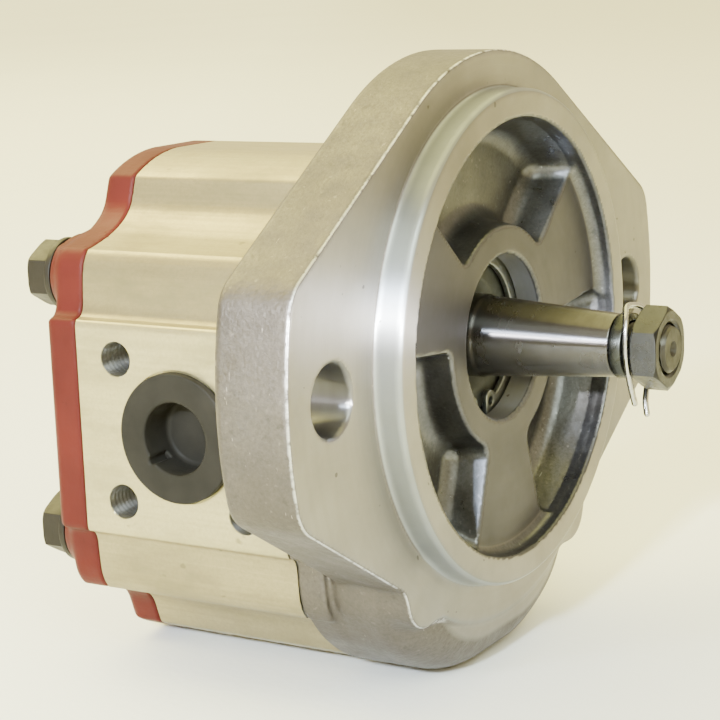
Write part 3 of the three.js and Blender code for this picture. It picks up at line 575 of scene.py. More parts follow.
def cover_metal(name):
    """The flange casting: cast skin, turned faces and cylinders, and dark cast pockets."""
    f = Finish(name)
    radius, _ = f.axis_parts()
    x, y, z = f.parts(f.place)
    nx = f.parts(f.facing_way())[0]

    def past(value, limit, blur=0.15):
        return f.between(value, (limit - blur) * MM, (limit + blur) * MM)

    def within(value, limit, blur=0.15):
        return f.except_for(past(value, limit, blur))

    facing = f.between(nx, 0.88, 0.97)
    side_on = f.except_for(facing)
    turned_face = f.times(facing, past(x, FACE_X - 0.3))
    # The hub's turned face inside the recess takes darker tones than the mounting face: painted shade for
    # the recess round it.
    shaded_hub_face = f.times(turned_face, within(radius, RECESS_RADIUS - 0.1, 0.1))
    pilot_side = f.times(past(x, FACE_X + 0.2, 0.1), past(radius, PILOT_RADIUS - 1.1), side_on)
    across = f.math("SUBTRACT", f.math("ABSOLUTE", y), MOUNT_HOLE_Y * MM)
    height = f.math("SUBTRACT", z, SHAFT_HEIGHT * MM)
    hole = f.math("SQRT", f.math("ADD", f.times(across, across), f.times(height, height)))
    # The mount holes' walls take darker tones than the turned faces: painted shade inside the holes.
    shaded_mount_hole = f.times(within(hole, 6.1), side_on)
    in_recess = f.times(within(radius, RECESS_RADIUS + 0.55, 0.1), past(x, FACE_X + RECESS_FLOOR - 0.6))
    pocket = f.times(in_recess, f.except_for(turned_face))
    bore = f.times(within(radius, 15.6, 0.1), within(x, FACE_X + 0.7, 0.1), side_on)
    joint = f.times(f.between(nx, -0.97, -0.9, 1, 0), within(x, FACE_X - 19.0, 0.05))
    # The flange's rounded front edge, broken up by noise, is painted near white: partly bare worn metal,
    # partly a painted highlight where the edge catches the light.
    corner = f.times(f.between(nx, 0.2, 0.4), f.between(nx, 0.75, 0.9, 1, 0), past(x, FACE_X - 0.7))
    broken = f.between(f.noise(420, 3, 0.6), 0.36, 0.52)
    worn_and_highlit_edge = f.times(corner, past(radius, 42.5), past(hole, 7), broken)
    return f.made_of(
        cast_metal(f, *CAST_TONES, 0.46),
        (f.math("MAXIMUM", turned_face, joint), turned_metal(f, *FACE_TONES, 0.33, True)),
        (shaded_hub_face, turned_metal(f, *HUB_SHADE_TONES, 0.48, True, 0.006, 0.3)),
        (pilot_side, turned_metal(f, *SIDE_TONES, 0.35, False)),
        (pocket, cast_metal(f, *POCKET_TONES, 0.34, 0.03, 0.95)),
        (bore, turned_metal(f, *BORE_TONES, 0.4, False)),
        (shaded_mount_hole, turned_metal(f, *SHADED_HOLE_TONES, 0.34, False)),
        (worn_and_highlit_edge, cast_metal(f, *WORN_AND_HIGHLIGHT_TONES, 0.3, 0.05, 0.95)),
    )


# The light and the dark tone that each surface is mixed from.
CAST_TONES = (0.126, 0.111, 0.097), (0.094, 0.082, 0.072)
FACE_TONES = (0.27, 0.255, 0.236), (0.215, 0.202, 0.186)
# The hub face's tones are darker than the mounting face's: painted shade.
HUB_SHADE_TONES = (0.08, 0.076, 0.084), (0.062, 0.059, 0.064)
SIDE_TONES = (0.31, 0.33, 0.34), (0.245, 0.26, 0.268)
POCKET_TONES = (0.14, 0.141, 0.15), (0.082, 0.082, 0.088)
BORE_TONES = (0.2, 0.205, 0.24), (0.15, 0.152, 0.175)
# Darker tones for the mount holes' walls: painted shade.
SHADED_HOLE_TONES = (0.17, 0.166, 0.165), (0.12, 0.117, 0.115)
# Near-white tones of the flange's front edge: partly wear, partly a painted highlight.
WORN_AND_HIGHLIGHT_TONES = (0.7, 0.7, 0.7), (0.52, 0.52, 0.52)
EXTRUDED_TONES = (0.355, 0.3, 0.163), (0.275, 0.232, 0.126)
PORT_FACE_TONES = (0.52, 0.455, 0.245), (0.43, 0.375, 0.2)
SAWN_TONES = (0.3, 0.28, 0.24), (0.24, 0.225, 0.19)
RED_TONES = (0.078, 0.0102, 0.0075), (0.058, 0.0075, 0.0056)
GROUND_TONES = (0.134, 0.13, 0.135), (0.096, 0.092, 0.096)
THREAD_TONES = (0.06, 0.056, 0.05), (0.038, 0.036, 0.032)
GEAR_TONES = (0.2, 0.195, 0.185), (0.14, 0.137, 0.13)
TAPPED_TONES = (0.5, 0.49, 0.46), (0.36, 0.35, 0.33)
BLACK_TONES = (0.0145, 0.0105, 0.0068), (0.009, 0.0066, 0.0043)
NUT_TONES = (0.062, 0.062, 0.066), (0.046, 0.046, 0.05)
WASHER_TONES = (0.05, 0.052, 0.048), (0.03, 0.032, 0.029)
ZINC_TONES = (0.46, 0.46, 0.46), (0.36, 0.355, 0.34)
BEARING_TONES = (0.34, 0.335, 0.32), (0.28, 0.275, 0.26)
BRONZE_TONES = (0.34, 0.2, 0.07), (0.25, 0.14, 0.05)
RUBBER_TONES = (0.012, 0.012, 0.011), (0.008, 0.008, 0.008)
SEAL_TONES = (0.06, 0.064, 0.06), (0.042, 0.045, 0.042)
CIRCLIP_TONES = (0.26, 0.27, 0.27), (0.19, 0.197, 0.197)
PLASTIC_TONES = (0.021, 0.019, 0.0155), (0.015, 0.0138, 0.0112)

COVER = cover_metal("cover_aluminium_skin")
EXTRUDED = finish("extruded_aluminium_skin", extruded_metal, *EXTRUDED_TONES)
PORT_FACE = finish("port_face_skin", extruded_metal, *PORT_FACE_TONES)
SAWN = finish("faced_aluminium", turned_metal, *SAWN_TONES, 0.45, True)
RED = finish("red_paint_skin", painted_metal, *RED_TONES)
GROUND = finish("ground_steel_skin", ground_metal, *GROUND_TONES, 0.245)
# The rolled thread's front share of 0.26 darkens its faces along +X: painted shade.
THREAD = finish("rolled_thread_skin", dull_metal, *THREAD_TONES, 0.38, 0.9, 0.01, 0.26)
GEAR = finish("gear_steel_skin", ground_metal, *GEAR_TONES, 0.4)
TAPPED = finish("tapped_aluminium_skin", bored_metal, *TAPPED_TONES)
BLACK = finish("black_steel_skin", dull_metal, *BLACK_TONES, 0.45, 0.5)
# The nut's front share of 0.36 darkens its faces along +X: painted shade.
NUT = finish("nut_steel_skin", dull_metal, *NUT_TONES, 0.30, 0.95, 0.015, 0.36)
DARK_WASHER = finish("washer_steel_skin", dull_metal, *WASHER_TONES, 0.25, 0.9, 0.01)
ZINC = finish("zinc_wire_skin", dull_metal, *ZINC_TONES, 0.22, 1.0, 0.01)
BEARING = finish("bearing_aluminium_face", turned_metal, *BEARING_TONES, 0.45, True)
BRONZE = finish("bush_bronze_skin", dull_metal, *BRONZE_TONES, 0.32, 0.95, 0.02)
RUBBER = finish("nitrile_rubber_skin", moulded, *RUBBER_TONES, 0.6)
SEAL = finish("shaft_seal_skin", moulded, *SEAL_TONES, 0.5)
CIRCLIP = finish("circlip_steel_skin", dull_metal, *CIRCLIP_TONES, 0.34, 0.95, 0.01)
PLASTIC = finish("plug_plastic_skin", moulded, *PLASTIC_TONES, 0.42, 0.02, 0.05)

# ---- Front cover ---------------------------------------------------------------------------------

BODY_QUARTER = (
    [(-20, 43.8), (6, 43.8)]
    + bezier([(6, 43.8), (12.5, 43.4), (17.9, 40.4)], 12)
    + bezier([(17.9, 40.4), (18.4, 40.1), (18.6, 39.6)], 3)
    + [(19.8, 36.2)]
    + bezier([(19.8, 36.2), (21.5, 31.6), (32.6, 29.4)], 16)
    + bezier([(32.6, 29.4), (34.3, 27.6), (34.5, 24.6)], 8)
    + [(34.8, 20.8)]
    + bezier([(34.8, 20.8), (35, 18.6), (36.4, 18.4)], 5)
    + bezier([(36.4, 18.4), (37.3, 18.2), (37.3, 17.2)], 4)
    + [(37.3, -20), (-20, -20)]
)
CHEEK_HALF = (
    [(-20, -56.5), (-20, -5), (34.5, -5), (34.5, -35)]
    + bezier([(34.5, -35), (34.5, -44), (20, -56), (6, -56.5)], 24)
)


def body_section(y, z):
    return outline_distance(BODY_QUARTER, np.abs(y), np.abs(z - MIDDLE_Z))


def flange_section(y, z):
    y, z = np.abs(y), np.abs(z)
    sin, cos = math.sin(FLANGE_TAPER), math.cos(FLANGE_TAPER)
    radius = np.hypot(y, z)
    side = np.where(y * cos - z * sin > 0, y * sin + z * cos, radius) - FLANGE_RADIUS
    whole = np.maximum(side, radius - EAR_REACH)
    across = FLANGE_RADIUS - EAR_CORNER
    along = math.sqrt((EAR_REACH - EAR_CORNER) ** 2 - across**2)
    cy, cz = across * sin + along * cos, across * cos - along * sin
    dy, dz = y - cy, z - cz
    cornered = (dy * cos - dz * sin > 0) & (cy * dz - cz * dy > 0)
    return np.where(cornered, np.hypot(dy, dz) - EAR_CORNER, whole)


def bolt_holes(y, z):
    y = np.abs(y)
    upper = disc(y, z, BOLT_HOLE_RADIUS, *UPPER_BOLT)
    return np.minimum(upper, disc(y, z, BOLT_HOLE_RADIUS, *LOWER_BOLT))


def dowel_holes(side_y, z, ends):
    """The dowels' holes. ends is negative where they are deep enough."""
    return np.maximum(disc(side_y, z, DOWEL_HOLE_RADIUS, DOWEL_Y, MIDDLE_Z), ends)


def recess(x, y, z, radius):
    """The hollow inside the pilot: three cast pockets between the webs, under one turned floor."""
    depth = np.maximum(HUB_FACE - x, 0)
    island = radius - HUB_RADIUS - 0.19 * depth
    for angle in WEBS:
        along = y * math.cos(angle) + z * math.sin(angle)
        across = np.abs(z * math.cos(angle) - y * math.sin(angle))
        half = 6.5 + 0.323 * (along - 16.7) + 0.28 * depth
        web = np.maximum((across - half) * 0.95, 8 - along)
        island = either(island, web, 2.2)
    wall = radius - RECESS_RADIUS + 0.297 * depth
    pocket = less(wall, island, 2.6)
    pocket = both(pocket, RECESS_FLOOR - x, 2.4)
    floor = both(radius - RECESS_RADIUS, HUB_FACE - x, 2.0)
    return either(pocket, floor, 0.3)


def cover_field(x, y, z):
    radius = np.hypot(y, z)
    side_y = np.abs(y)
    lug = disc(side_y, z, LUG_RADIUS, *LUG_PLACE)
    front = either(flange_section(y, z), lug, 2.2)
    flange = both(both(front, x, 0.45), -EAR_THICKNESS - x, 1.3)
    pilot = np.maximum(both(radius - PILOT_RADIUS, x - PILOT_HEIGHT, 0.9), -2 - x)
    solid = either(flange, pilot, 0.8)
    fade = ramp(z, -49, -40)
    inset = fade * (0.9 * ramp(x, -15.6, -13.6) + 0.7 * ramp(x, -6.0, -4.8))
    cheek = both(outline_distance(CHEEK_HALF, side_y, z) + inset, x, 8.0)
    cheek = np.maximum(cheek, COVER_JOINT - x)
    solid = either(solid, cheek, 1.6)
    section = body_section(y, z)
    neck = np.maximum(section + 2.6, slab(x, -15.5, -3))
    plate = both(both(section, x + 14.5, 0.4), COVER_JOINT - x, 0.15)
    solid = either(either(solid, neck, 1.0), plate, 0.5)
    solid = less(solid, recess(x, y, z, radius), 0.35)
    flare = np.clip(x - 0.95, 0, 2)
    bore = both(radius - SEAL_BORE_RADIUS - flare, SEAL_BORE_FLOOR - x, 0.4)
    groove = np.maximum(radius - RING_GROOVE_RADIUS, slab(x, -4.6, -3.1))
    shaft_hole = np.maximum(radius - SHAFT_HOLE_RADIUS, x + 12)
    mount = disc(side_y, z, MOUNT_HOLE_RADIUS, MOUNT_HOLE_Y)
    mount = mount - np.clip(x + 0.35, 0, 2) - np.clip(-12.65 - x, 0, 2)
    bolts = np.maximum(bolt_holes(y, z), x - BOLT_HOLE_END)
    dowels = dowel_holes(side_y, z, x - COVER_JOINT - DOWEL_DEPTH)
    for hole in (bore, groove, shaft_hole, mount, bolts, dowels):
        solid = less(solid, hole)
    return np.maximum(solid, FOOT_Z - z)


cover_low, cover_high = (COVER_JOINT, -65, -56.5), (PILOT_HEIGHT, 65, 47.5)
piece(
    "flange_cover_casting",
    [surface_net(cover_field, cover_low, cover_high, FINE_PITCH)],
    [COVER],
    stands_for=["mounting_flange_cover"],
)

# ---- Body ----------------------------------------------------------------------------------------

PAD = 37.3
ASIDE = (-PORT_SCREW_OFFSET, PORT_SCREW_OFFSET)
PORT_SCREWS = [(BODY_MIDDLE + a, MIDDLE_Z + b) for a in ASIDE for b in ASIDE]


def track(y, z, radius):
    """Distance to a race-track outline round both gear axes."""
    along = np.clip(z, -GEAR_CENTRES, 0)
    return np.hypot(y, z - along) - radius


def body_field(x, y, z):
    side_y = np.abs(y)
    solid = both(body_section(y, z), slab(x, BODY_REAR, BODY_FRONT))
    gears = np.minimum(disc(y, z, GEAR_BORE_RADIUS), disc(y, z, GEAR_BORE_RADIUS, 0, -GEAR_CENTRES))
    seal_track = np.maximum(track(y, z, 19.6), -track(y, z, 17.0))
    seats = np.maximum(seal_track, np.minimum(BODY_FRONT - 1.9 - x, x - BODY_REAR - 1.9))
    from_port = np.hypot(x - BODY_MIDDLE, z - MIDDLE_Z)
    port = np.maximum(from_port - PORT_RADIUS, 7 - side_y)
    solid = less(less(less(solid, gears), port), bolt_holes(y, z))
    rim_seat = np.maximum(from_port - PLUG_RADIUS - 0.3, PAD - 0.5 - side_y)
    solid = less(less(solid, seats), rim_seat)
    for sx, sz in PORT_SCREWS:
        screw = np.maximum(np.hypot(x - sx, z - sz) - PORT_SCREW_RADIUS, 24.8 - side_y)
        solid = less(solid, screw)
    ends = np.minimum(BODY_FRONT - DOWEL_DEPTH - x, x - BODY_REAR - DOWEL_DEPTH)
    return less(solid, dowel_holes(side_y, z, ends))


def screw_thread(sx, sz, side):
    """The threaded lining of one port screw hole, M6 with a 1 mm pitch."""
    turns, segments, per_turn = 12, 48, 6
    rows = turns * per_turn
    points = []
    for row in range(rows + 1):
        for i in range(segments):
            angle = 2 * math.pi * i / segments
            phase = (row / per_turn - i / segments) % 1
            inner = 2.96 - 0.09 * (1 - abs(2 * phase - 1)) * min(1, (rows - row) / 4, row / 3)
            depth = 37.15 - row / per_turn
            points.append((sx + inner * math.cos(angle), side * depth, sz + inner * math.sin(angle)))
    for depth in (37.15 - turns, 37.15):
        for i in range(segments):
            angle = 2 * math.pi * i / segments
            points.append((sx + 3.1 * math.cos(angle), side * depth, sz + 3.1 * math.sin(angle)))
    faces = ring_quads(rows + 3, segments, closed=True)
    return np.array(points), faces if side > 0 else reversed_faces(faces)


def body_finish(centre, normal):
    chosen = np.zeros(len(centre))
    inner = (track(centre[:, 1], centre[:, 2], 15.6) < 0) | (np.abs(normal[:, 0]) > 0.9)
    chosen[np.abs(centre[:, 1]) > PAD - 0.6] = 2
    chosen[inner] = 1
    return chosen


body_low, body_high = (BODY_REAR, -37.3, -56.5), (BODY_FRONT, 37.3, 31.1)
piece(
    "extruded_body",
    [surface_net(body_field, body_low, body_high, FINE_PITCH)],
    [EXTRUDED, SAWN, PORT_FACE],
    stands_for=["pump_body"],
    pick=body_finish,
)
piece(
    "port_screw_threads",
    [screw_thread(sx, sz, side) for sx, sz in PORT_SCREWS for side in (-1, 1)],
    [TAPPED],
)

# ---- Rear cover ----------------------------------------------------------------------------------


def rear_field(x, y, z):
    side_y = np.abs(y)
    plate = both(body_section(y, z), PLATE_BACK - x, 1.9)
    plate = both(plate, x - REAR_JOINT, 0.3)
    bosses = np.minimum(disc(side_y, z, 6.9, *UPPER_BOLT), disc(side_y, z, 6.9, *LOWER_BOLT))
    raised = either(bosses, track(y, z, 13.0), 2.0)
    raised = both(np.maximum(raised, x - REAR_JOINT + 2), COVER_BACK - x, 0.9)
    solid = either(plate, np.maximum(raised, body_section(y, z) + 0.6), 1.2)
    solid = less(solid, bolt_holes(y, z))
    return less(solid, dowel_holes(side_y, z, REAR_JOINT - DOWEL_DEPTH - x))


def joint_face(centre, normal):
    inner = body_section(centre[:, 1], centre[:, 2]) < -0.8
    return inner & (normal[:, 0] > 0.97) & (centre[:, 0] > REAR_JOINT - 0.1)


rear_low, rear_high = (COVER_BACK, -37.3, -56.5), (REAR_JOINT, 37.3, 31.1)
piece(
    "rear_cover_casting",
    [surface_net(rear_field, rear_low, rear_high, FINE_PITCH)],
    [RED, SAWN],
    stands_for=["rear_cover"],
    pick=joint_face,
)

# ---- Shafts --------------------------------------------------------------------------------------


def gear_outline(first_tooth, centre_z):
    teeth, pressure, tip, root, backlash = 10, math.radians(25), 15.0, 10.0, 0.16
    pitch = GEAR_CENTRES / 2
    base = pitch * math.cos(pressure)

    def half_tooth(radius):
        at = math.acos(base / radius) if radius > base else 0
        half = math.pi / (2 * teeth) - backlash / (2 * pitch)
        return half + (math.tan(pressure) - pressure) - (math.tan(at) - at)

    flank = [root, root + 0.4] + [base + (tip - base) * i / 10 for i in range(11)]
    points = []
    for tooth in range(teeth):
        middle = first_tooth + tooth * 2 * math.pi / teeth
        rising = [(r, middle - half_tooth(r)) for r in flank]
        falling = [(r, middle + half_tooth(r)) for r in flank[::-1]]
        points += [(r * math.cos(a), r * math.sin(a) + centre_z) for r, a in rising + falling]
    return points


def threaded_end(x0, x1, radius, pitch=1.0, segments=64, per_turn=10):
    """A rod with a rolled thread from x0 to x1 and a small centre hole in its end."""
    depth = 0.5
    rows = [(x0 - 0.2, radius - depth, 0)]
    count = int((x1 - 0.5 - x0) / pitch * per_turn)
    for i in range(count + 1):
        rows.append((x0 + i * pitch / per_turn, radius, min(1, i / 5, (count + 3 - i) / 4)))
    rows += [(x1 - 0.45, radius - 0.1, 0.4), (x1, radius - 0.55, 0), (x1, 1.35, 0), (x1 - 0.25, 1.15, 0)]
    rows += [(x1 - 1.6, 0.02, 0)]
    points = []
    for x, r, share in rows:
        for i in range(segments):
            angle = 2 * math.pi * i / segments
            phase = ((x - x0) / pitch - i / segments) % 1
            bite = depth * share * (1 - abs(2 * phase - 1))
            points.append((x, (r - bite) * math.cos(angle), (r - bite) * math.sin(angle)))
    faces = ring_quads(len(rows), segments) + ring_caps(len(rows), segments)
    return np.array(points), reversed_faces(faces)


def lathe(profile, radius=0.3, segments=96, axis_z=0.0):
    """A body turned about X, its corners rounded.

    The profile's [x, radius] points start and end on the axis or form a loop.
    """
    profile = softened(profile, radius)
    closed = profile[0] == profile[-1]
    rows = profile[:-1] if closed else profile
    angles = np.linspace(0, 2 * np.pi, segments, endpoint=False)
    points = np.array([(x, r * np.cos(a), r * np.sin(a)) for x, r in rows for a in angles])
    return points + (0, 0, axis_z), reversed_faces(ring_quads(len(rows), segments, closed))


JOURNAL_REAR, JOURNAL_FRONT = BODY_REAR + 0.6, BODY_FRONT - 0.6
GEAR_REAR, GEAR_FRONT = BODY_MIDDLE - 6.25, BODY_MIDDLE + 6.25
KEY_X, KEY_RADIUS, KEY_BOTTOM = 11.0, 6.5, 2.4


def taper_field(x, y, z):
    radius = np.hypot(y, z)
    taper = np.minimum(7.0, 6.77 - (x + 1.5) * np.where(x < -1.5, 0.38, (6.77 - 5.13) / 23.5))
    rod = both((radius - taper) * 0.95, slab(x, -9, 22), 0.25)
    keyway = np.hypot(x - KEY_X, y - KEY_BOTTOM - KEY_RADIUS) - KEY_RADIUS - 0.3
    return less(rod, np.maximum(keyway, np.abs(z) - 1.8))


drive_profile = [(JOURNAL_REAR, 0), (JOURNAL_REAR, 7), (-8.6, 7), (-8.6, 0)]
piece(
    "drive_shaft_turned",
    [
        lathe(drive_profile),
        extruded(gear_outline(-math.pi / 2, 0), GEAR_REAR, GEAR_FRONT),
    ],
    [GROUND],
    body="drive_shaft",
    stands_for=["drive_gear_shaft"],
)
taper = surface_net(taper_field, (-9, -7, -7), (22, 7, 7), 0.3)
piece("keyed_taper", [taper], [GROUND], body="drive_shaft")
piece("rolled_thread", [threaded_end(22.0, 31.2, 3.95)], [THREAD], body="drive_shaft")
driven_profile = [(JOURNAL_REAR, 0), (JOURNAL_REAR, 7), (JOURNAL_FRONT, 7), (JOURNAL_FRONT, 0)]
first_driven_tooth = math.pi / 2 + math.pi / 10
piece(
    "driven_shaft_turned",
    [
        lathe(driven_profile, 0.6, axis_z=-GEAR_CENTRES),
        extruded(gear_outline(first_driven_tooth, -GEAR_CENTRES), GEAR_REAR, GEAR_FRONT),
    ],
    [GEAR],
    body="driven_shaft",
    stands_for=["driven_gear_shaft"],
)

# ---- Shaft end fittings --------------------------------------------------------------------------


def hexagon(y, z, across_flats):
    """Distance to a hexagon with one corner up."""
    out = -np.inf
    for turn in range(3):
        angle = math.pi / 3 * turn
        out = np.maximum(out, np.abs(y * math.cos(angle) + z * math.sin(angle)) - across_flats / 2)
    return out


def key_field(x, y, z):
    disc_part = np.hypot(x - KEY_X, y - KEY_BOTTOM - KEY_RADIUS) - KEY_RADIUS
    return both(both(disc_part, np.abs(z) - 1.5, 0.15), y - KEY_BOTTOM - 5, 0.2)


def nut_field(x, y, z):
    radius = np.hypot(y, z)
    body = both(hexagon(y, z, 12), slab(x, 26.2, 30.7), 0.12)
    cone = np.maximum(radius - 6.15 - (30.7 - x) * 1.73, radius - 6.15 - (x - 26.2) * 1.73) * 0.5
    solid = both(body, cone, 0.06)
    bore = radius - 4.2 - np.clip(x - 30.25, 0, 1) - np.clip(26.65 - x, 0, 1)
    return less(solid, bore)


piece(
    "half_moon_key",
    [surface_net(key_field, (4, 2, -1.5), (18, 7.4, 1.5), 0.25)],
    [GEAR],
    body="drive_shaft",
    stands_for=["woodruff_key"],
)
shaft_washer = [(22.3, 4.25), (22.3, 5.4), (24.3, 5.4), (24.3, 4.25), (22.3, 4.25)]
piece(
    "plain_shaft_washer",
    [lathe(shaft_washer, 0.25)],
    [DARK_WASHER],
    body="drive_shaft",
    stands_for=["shaft_washer"],
)
piece(
    "chamfered_shaft_nut",
    [surface_net(nut_field, (26.2, -7, -7), (30.7, 7, 7), 0.17)],
    [NUT],
    body="drive_shaft",
    stands_for=["shaft_nut"],
)

WIRE_ROUTE = [
    (26.5, -4.7, -8.3),
    (25.8, -5.1, -4.6),
    (25.3, -5.2, -0.6),
    (25.2, -5.0, 3),
    (24.7, -3.8, 5.4),
    (23.8, -1.6, 6.5),
    (23.7, 1, 6.5),
    (24.4, 3.4, 5.7),
    (25.2, 5.0, 3.2),
    (25.3, 5.2, -0.6),
    (25.3, 4.9, -4),
    (25.2, 3.5, -7),
    (25.5, 2, -9.4),
    (26, 1.4, -11.4),
]


def smooth_path(route, steps=8):
    """Points on a Catmull-Rom curve through a route."""
    p = np.array([2 * np.array(route[0]) - route[1], *route, 2 * np.array(route[-1]) - route[-2]])
    out = []
    for i in range(1, len(p) - 2):
        for t in np.linspace(0, 1, steps, endpoint=False):
            a, b = (p[i + 1] - p[i - 1]) / 2, (p[i + 2] - p[i]) / 2
            h = 2 * t**3 - 3 * t**2 + 1, t**3 - 2 * t**2 + t, -2 * t**3 + 3 * t**2, t**3 - t**2
            out.append(h[0] * p[i] + h[1] * a + h[2] * p[i + 1] + h[3] * b)
    return out + [p[-2]]


piece(
    "spring_wire_clip",
    [swept(smooth_path(WIRE_ROUTE), 0.5)],
    [ZINC],
    body="drive_shaft",
    stands_for=["nut_retaining_wire"],
)

# ---- Shaft seal and its ring ---------------------------------------------------------------------

seal_profile = [
    (-12.1, 13.5),
    (-5, 13.5),
    (-5, 9.6),
    (-6.6, 7.5),
    (-8.2, 7.5),
    (-9.2, 8.8),
    (-9.2, 11.6),
    (-12.1, 11.6),
    (-12.1, 13.5),
]
piece("moulded_shaft_seal", [lathe(seal_profile, 0.4)], [SEAL], stands_for=["shaft_seal"])


def circlip_field(x, y, z):
    radius = np.hypot(y, z)
    side_y = np.abs(y)
    ring = np.maximum(radius - 14.4, 12.2 - radius)
    shape = either(ring, disc(side_y, z, 1.9, 3.2, -12), 0.6)
    gap = np.maximum(side_y - 1.6, z)
    shape = less(less(shape, gap, 0.2), disc(side_y, z, 0.8, 3.2, -12))
    return both(shape, slab(x, -4.35, -3.4), 0.1)


piece(
    "stamped_circlip",
    [surface_net(circlip_field, (-4.35, -14.4, -14.4), (-3.4, 14.4, 14.4), 0.22)],
    [CIRCLIP],
    stands_for=["seal_retaining_ring"],
)

# ---- Bolts and washers ---------------------------------------------------------------------------

HEAD_FRONT, HEAD_BACK, THREAD_START, BOLT_TIP = -69.9, -74.2, -19.6, -5.6


def head_field(x, y, z):
    radius = np.hypot(y, z)
    body = both(hexagon(y, z, 10), slab(x, HEAD_BACK, HEAD_FRONT), 0.15)
    cone = (radius - 5.1 - (x - HEAD_BACK) * 1.73) * 0.5
    return both(body, cone, 0.06)


head = surface_net(head_field, (HEAD_BACK, -6, -6), (HEAD_FRONT, 6, 6), 0.24)
in_head = HEAD_FRONT - 0.5
shank = lathe([(in_head, 0), (in_head, 3), (THREAD_START, 3), (THREAD_START, 0)], 0.2, 48)
shank_end = threaded_end(THREAD_START, BOLT_TIP, 3.0, segments=48, per_turn=8)
bolt_washer = [(-69.6, 3.3), (-69.6, 6.3), (-68.4, 6.3), (-68.4, 3.3), (-69.6, 3.3)]
for place, (side, (y, z)) in {
    "upper_left": (-1, UPPER_BOLT),
    "upper_right": (1, UPPER_BOLT),
    "lower_left": (-1, LOWER_BOLT),
    "lower_right": (1, LOWER_BOLT),
}.items():
    piece(
        "hex_bolt_" + place,
        [head[:2], shank, shank_end],
        [BLACK],
        stands_for=["cover_bolt_" + place],
        shift=(0, side * y, z),
    )
    piece(
        "round_washer_" + place,
        [lathe(bolt_washer, 0.2, 64)],
        [BLACK],
        stands_for=["bolt_washer_" + place],
        shift=(0, side * y, z),
    )

# ---- Port plugs ----------------------------------------------------------------------------------


def plug_field(side):
    """The distance field of the plug on one side, +1 or -1 along Y."""

    def field(x, y, z):
        out = side * y - PAD
        radius = np.hypot(x - BODY_MIDDLE, z - MIDDLE_Z)
        flange = both(radius - PLUG_RADIUS, slab(out, -0.2, PLUG_FRONT), 0.3)
        stem = both(radius - 7.2, slab(out, -8, 1), 0.5)
        solid = either(flange, stem, 0.3)
        cup = both(radius - 6.0 - 0.05 * out, -4.8 - out, 0.8)
        notch = np.hypot(x - BODY_MIDDLE + 4.6, z - MIDDLE_Z + 3.9) - 0.75
        cup = either(cup, np.maximum(notch, -3 - out), 0.2)
        rib = np.maximum(np.hypot(x - BODY_MIDDLE, out + 6) - 0.5, radius - 5)
        return either(less(solid, cup, 0.35), rib, 0.3)

    return field


for port, side in (("inlet", -1), ("outlet", 1)):
    near, far = sorted((side * (PAD - 8), side * (PAD + PLUG_FRONT)))
    low = (BODY_MIDDLE - PLUG_RADIUS, near, MIDDLE_Z - PLUG_RADIUS)
    high = (BODY_MIDDLE + PLUG_RADIUS, far, MIDDLE_Z + PLUG_RADIUS)
    piece(
        port + "_moulded_plug",
        [surface_net(plug_field(side), low, high, 0.3)],
        [PLASTIC],
        stands_for=[port + "_port_plug"],
    )

# ---- Inner pieces that keep their solids ---------------------------------------------------------

INNER = {
    BEARING: ["front_bearing_block", "rear_bearing_block"],
    BRONZE: ["drive_front_bush", "driven_front_bush", "drive_rear_bush", "driven_rear_bush"],
    RUBBER: ["front_pressure_seal", "rear_pressure_seal", "front_body_seal", "rear_body_seal"],
    GEAR: ["front_dowel_left", "front_dowel_right", "rear_dowel_left", "rear_dowel_right"],
}
for material, names in INNER.items():
    for name in names:
        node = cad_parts[name]
        node.data.materials.clear()
        node.data.materials.append(material)

# ---- Floor, light and camera ---------------------------------------------------------------------


def make_floor():
    size, sides = 30.0, 96
    f = Finish("pale_floor")
    colour = f.mix(f.between(f.noise(3, 3, 0.5), 0.3, 0.7), (0.92, 0.92, 0.88), (0.89, 0.89, 0.85))
    x, y = f.parts(f.place)[:2]
    # The floor's colour darkens towards the right of the view: painted shade for light that falls off away
    # from the left.
    painted_shade_side = f.math("ADD", f.times(x, 0.855), f.times(y, 0.518))
    colour = f.mix(f.between(painted_shade_side, -0.12, 0.16), colour, (0.76, 0.74, 0.66))
    skin = f.skin(Base_Color=colour, Roughness=0.6, Normal=f.bump(f.noise(500, 2, 0.5), 0.05))
    f.made_of(skin)
    points, faces = [(0, 0, 0)], []
    for i in range(sides):
        a = 2 * math.pi * i / sides
        points.append((size * math.cos(a), size * math.sin(a), 0))
        faces.append((0, i + 1, (i + 1) % sides + 1))
    mesh = bpy.data.meshes.new("studio_floor")
    mesh.from_pydata(points, [], faces)
    mesh.materials.append(f.material)
    floor = bpy.data.objects.new("studio_floor", mesh)
    bpy.context.scene.collection.objects.link(floor)


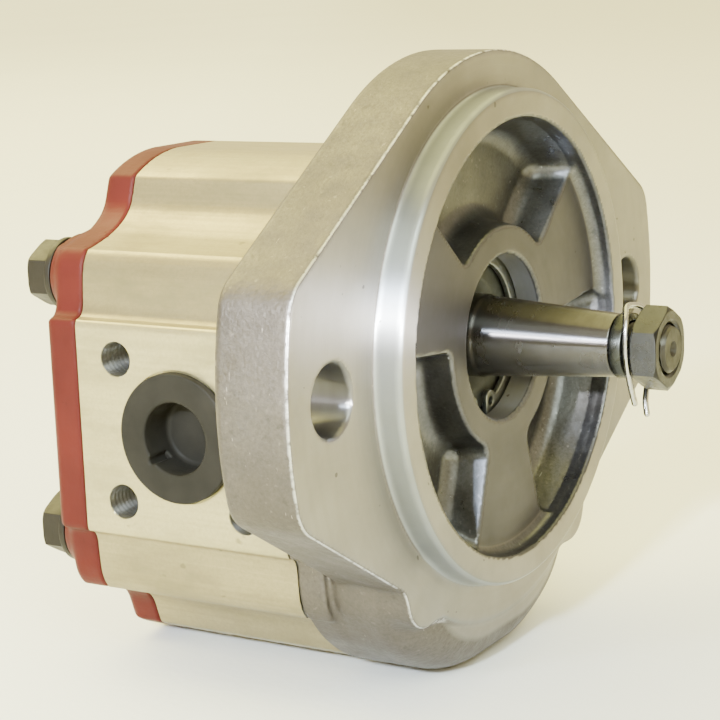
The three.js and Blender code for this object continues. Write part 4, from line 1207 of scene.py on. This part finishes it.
def lamp(name, kind, place, aim, power, colour=(1, 1, 1)):
    data = bpy.data.lights.new(name, kind)
    data.energy = power
    data.color = colour
    made = bpy.data.objects.new(name, data)
    made.location = place
    made.rotation_euler = (Vector(aim) - Vector(place)).to_track_quat("-Z", "Y").to_euler()
    bpy.context.scene.collection.objects.link(made)
    return data


def softbox(name, size, *where):
    data = lamp(name, "AREA", *where)
    data.shape = "SQUARE"
    data.size = size


def beam(name, place, aim, power, width):
    data = lamp(name, "SPOT", place, aim, power)
    data.spot_size = math.radians(width)
    data.spot_blend = 1.0
    data.shadow_soft_size = 0.02


make_floor()
PUMP = (0.02, 0, SHAFT_HEIGHT * MM)
LEFT_OF_PILOT, PILOT_CORNER = (0.0215, -0.0425, 0.067), (0.027, -0.04, 0.067)
softbox("key_light", 0.08, (0.165, -0.87, 0.444), PUMP, 24, (0.74, 0.86, 1.0))
softbox("left_kicker", 0.1, (-0.25, -0.89, 0.42), PUMP, 6, (0.8, 0.9, 1.0))
softbox("front_fill", 0.5, (0.55, -0.55, 0.65), (0.1, -0.25, 0), 9.8, (0.84, 0.98, 0.85))
softbox("left_window", 1.2, (-1.3, 0.1, 1.2), (-0.6, 0.3, 0), 48, (1.0, 0.92, 0.36))
beam("flange_glint", (0.66, -0.42, 0.157), LEFT_OF_PILOT, 440, 2.1)
beam("pilot_glint", (0.114, -0.895, 0.322), PILOT_CORNER, 300, 2.3)
sky = lamp("overhead_sky", "SUN", (-0.3, 0.3, 1), (0, 0, 0), 4.2, (1.0, 0.97, 0.27))
sky.angle = math.radians(80)

world = bpy.data.worlds.new("pale_room")
world.use_nodes = True
room = world.node_tree.nodes["Background"]
room.inputs["Color"].default_value = (1.0, 0.86, 0.48, 1)
room.inputs["Strength"].default_value = 1.65
bpy.context.scene.world = world

camera_data = bpy.data.cameras.new("camera")
camera_data.lens = 102.2
camera_data.sensor_width = 36
camera_data.clip_start = 0.01
camera = bpy.data.objects.new("camera", camera_data)
right, up, back = (0.8583, 0.5119, -0.0360), (-0.0706, 0.1874, 0.9798), (0.508, -0.838, 0.197)
view_from = Vector((175.6, -299.2, 120.8)) * MM
camera.matrix_world = Matrix.Translation(view_from) @ Matrix((right, up, back)).transposed().to_4x4()
bpy.context.scene.collection.objects.link(camera)
bpy.context.scene.camera = camera
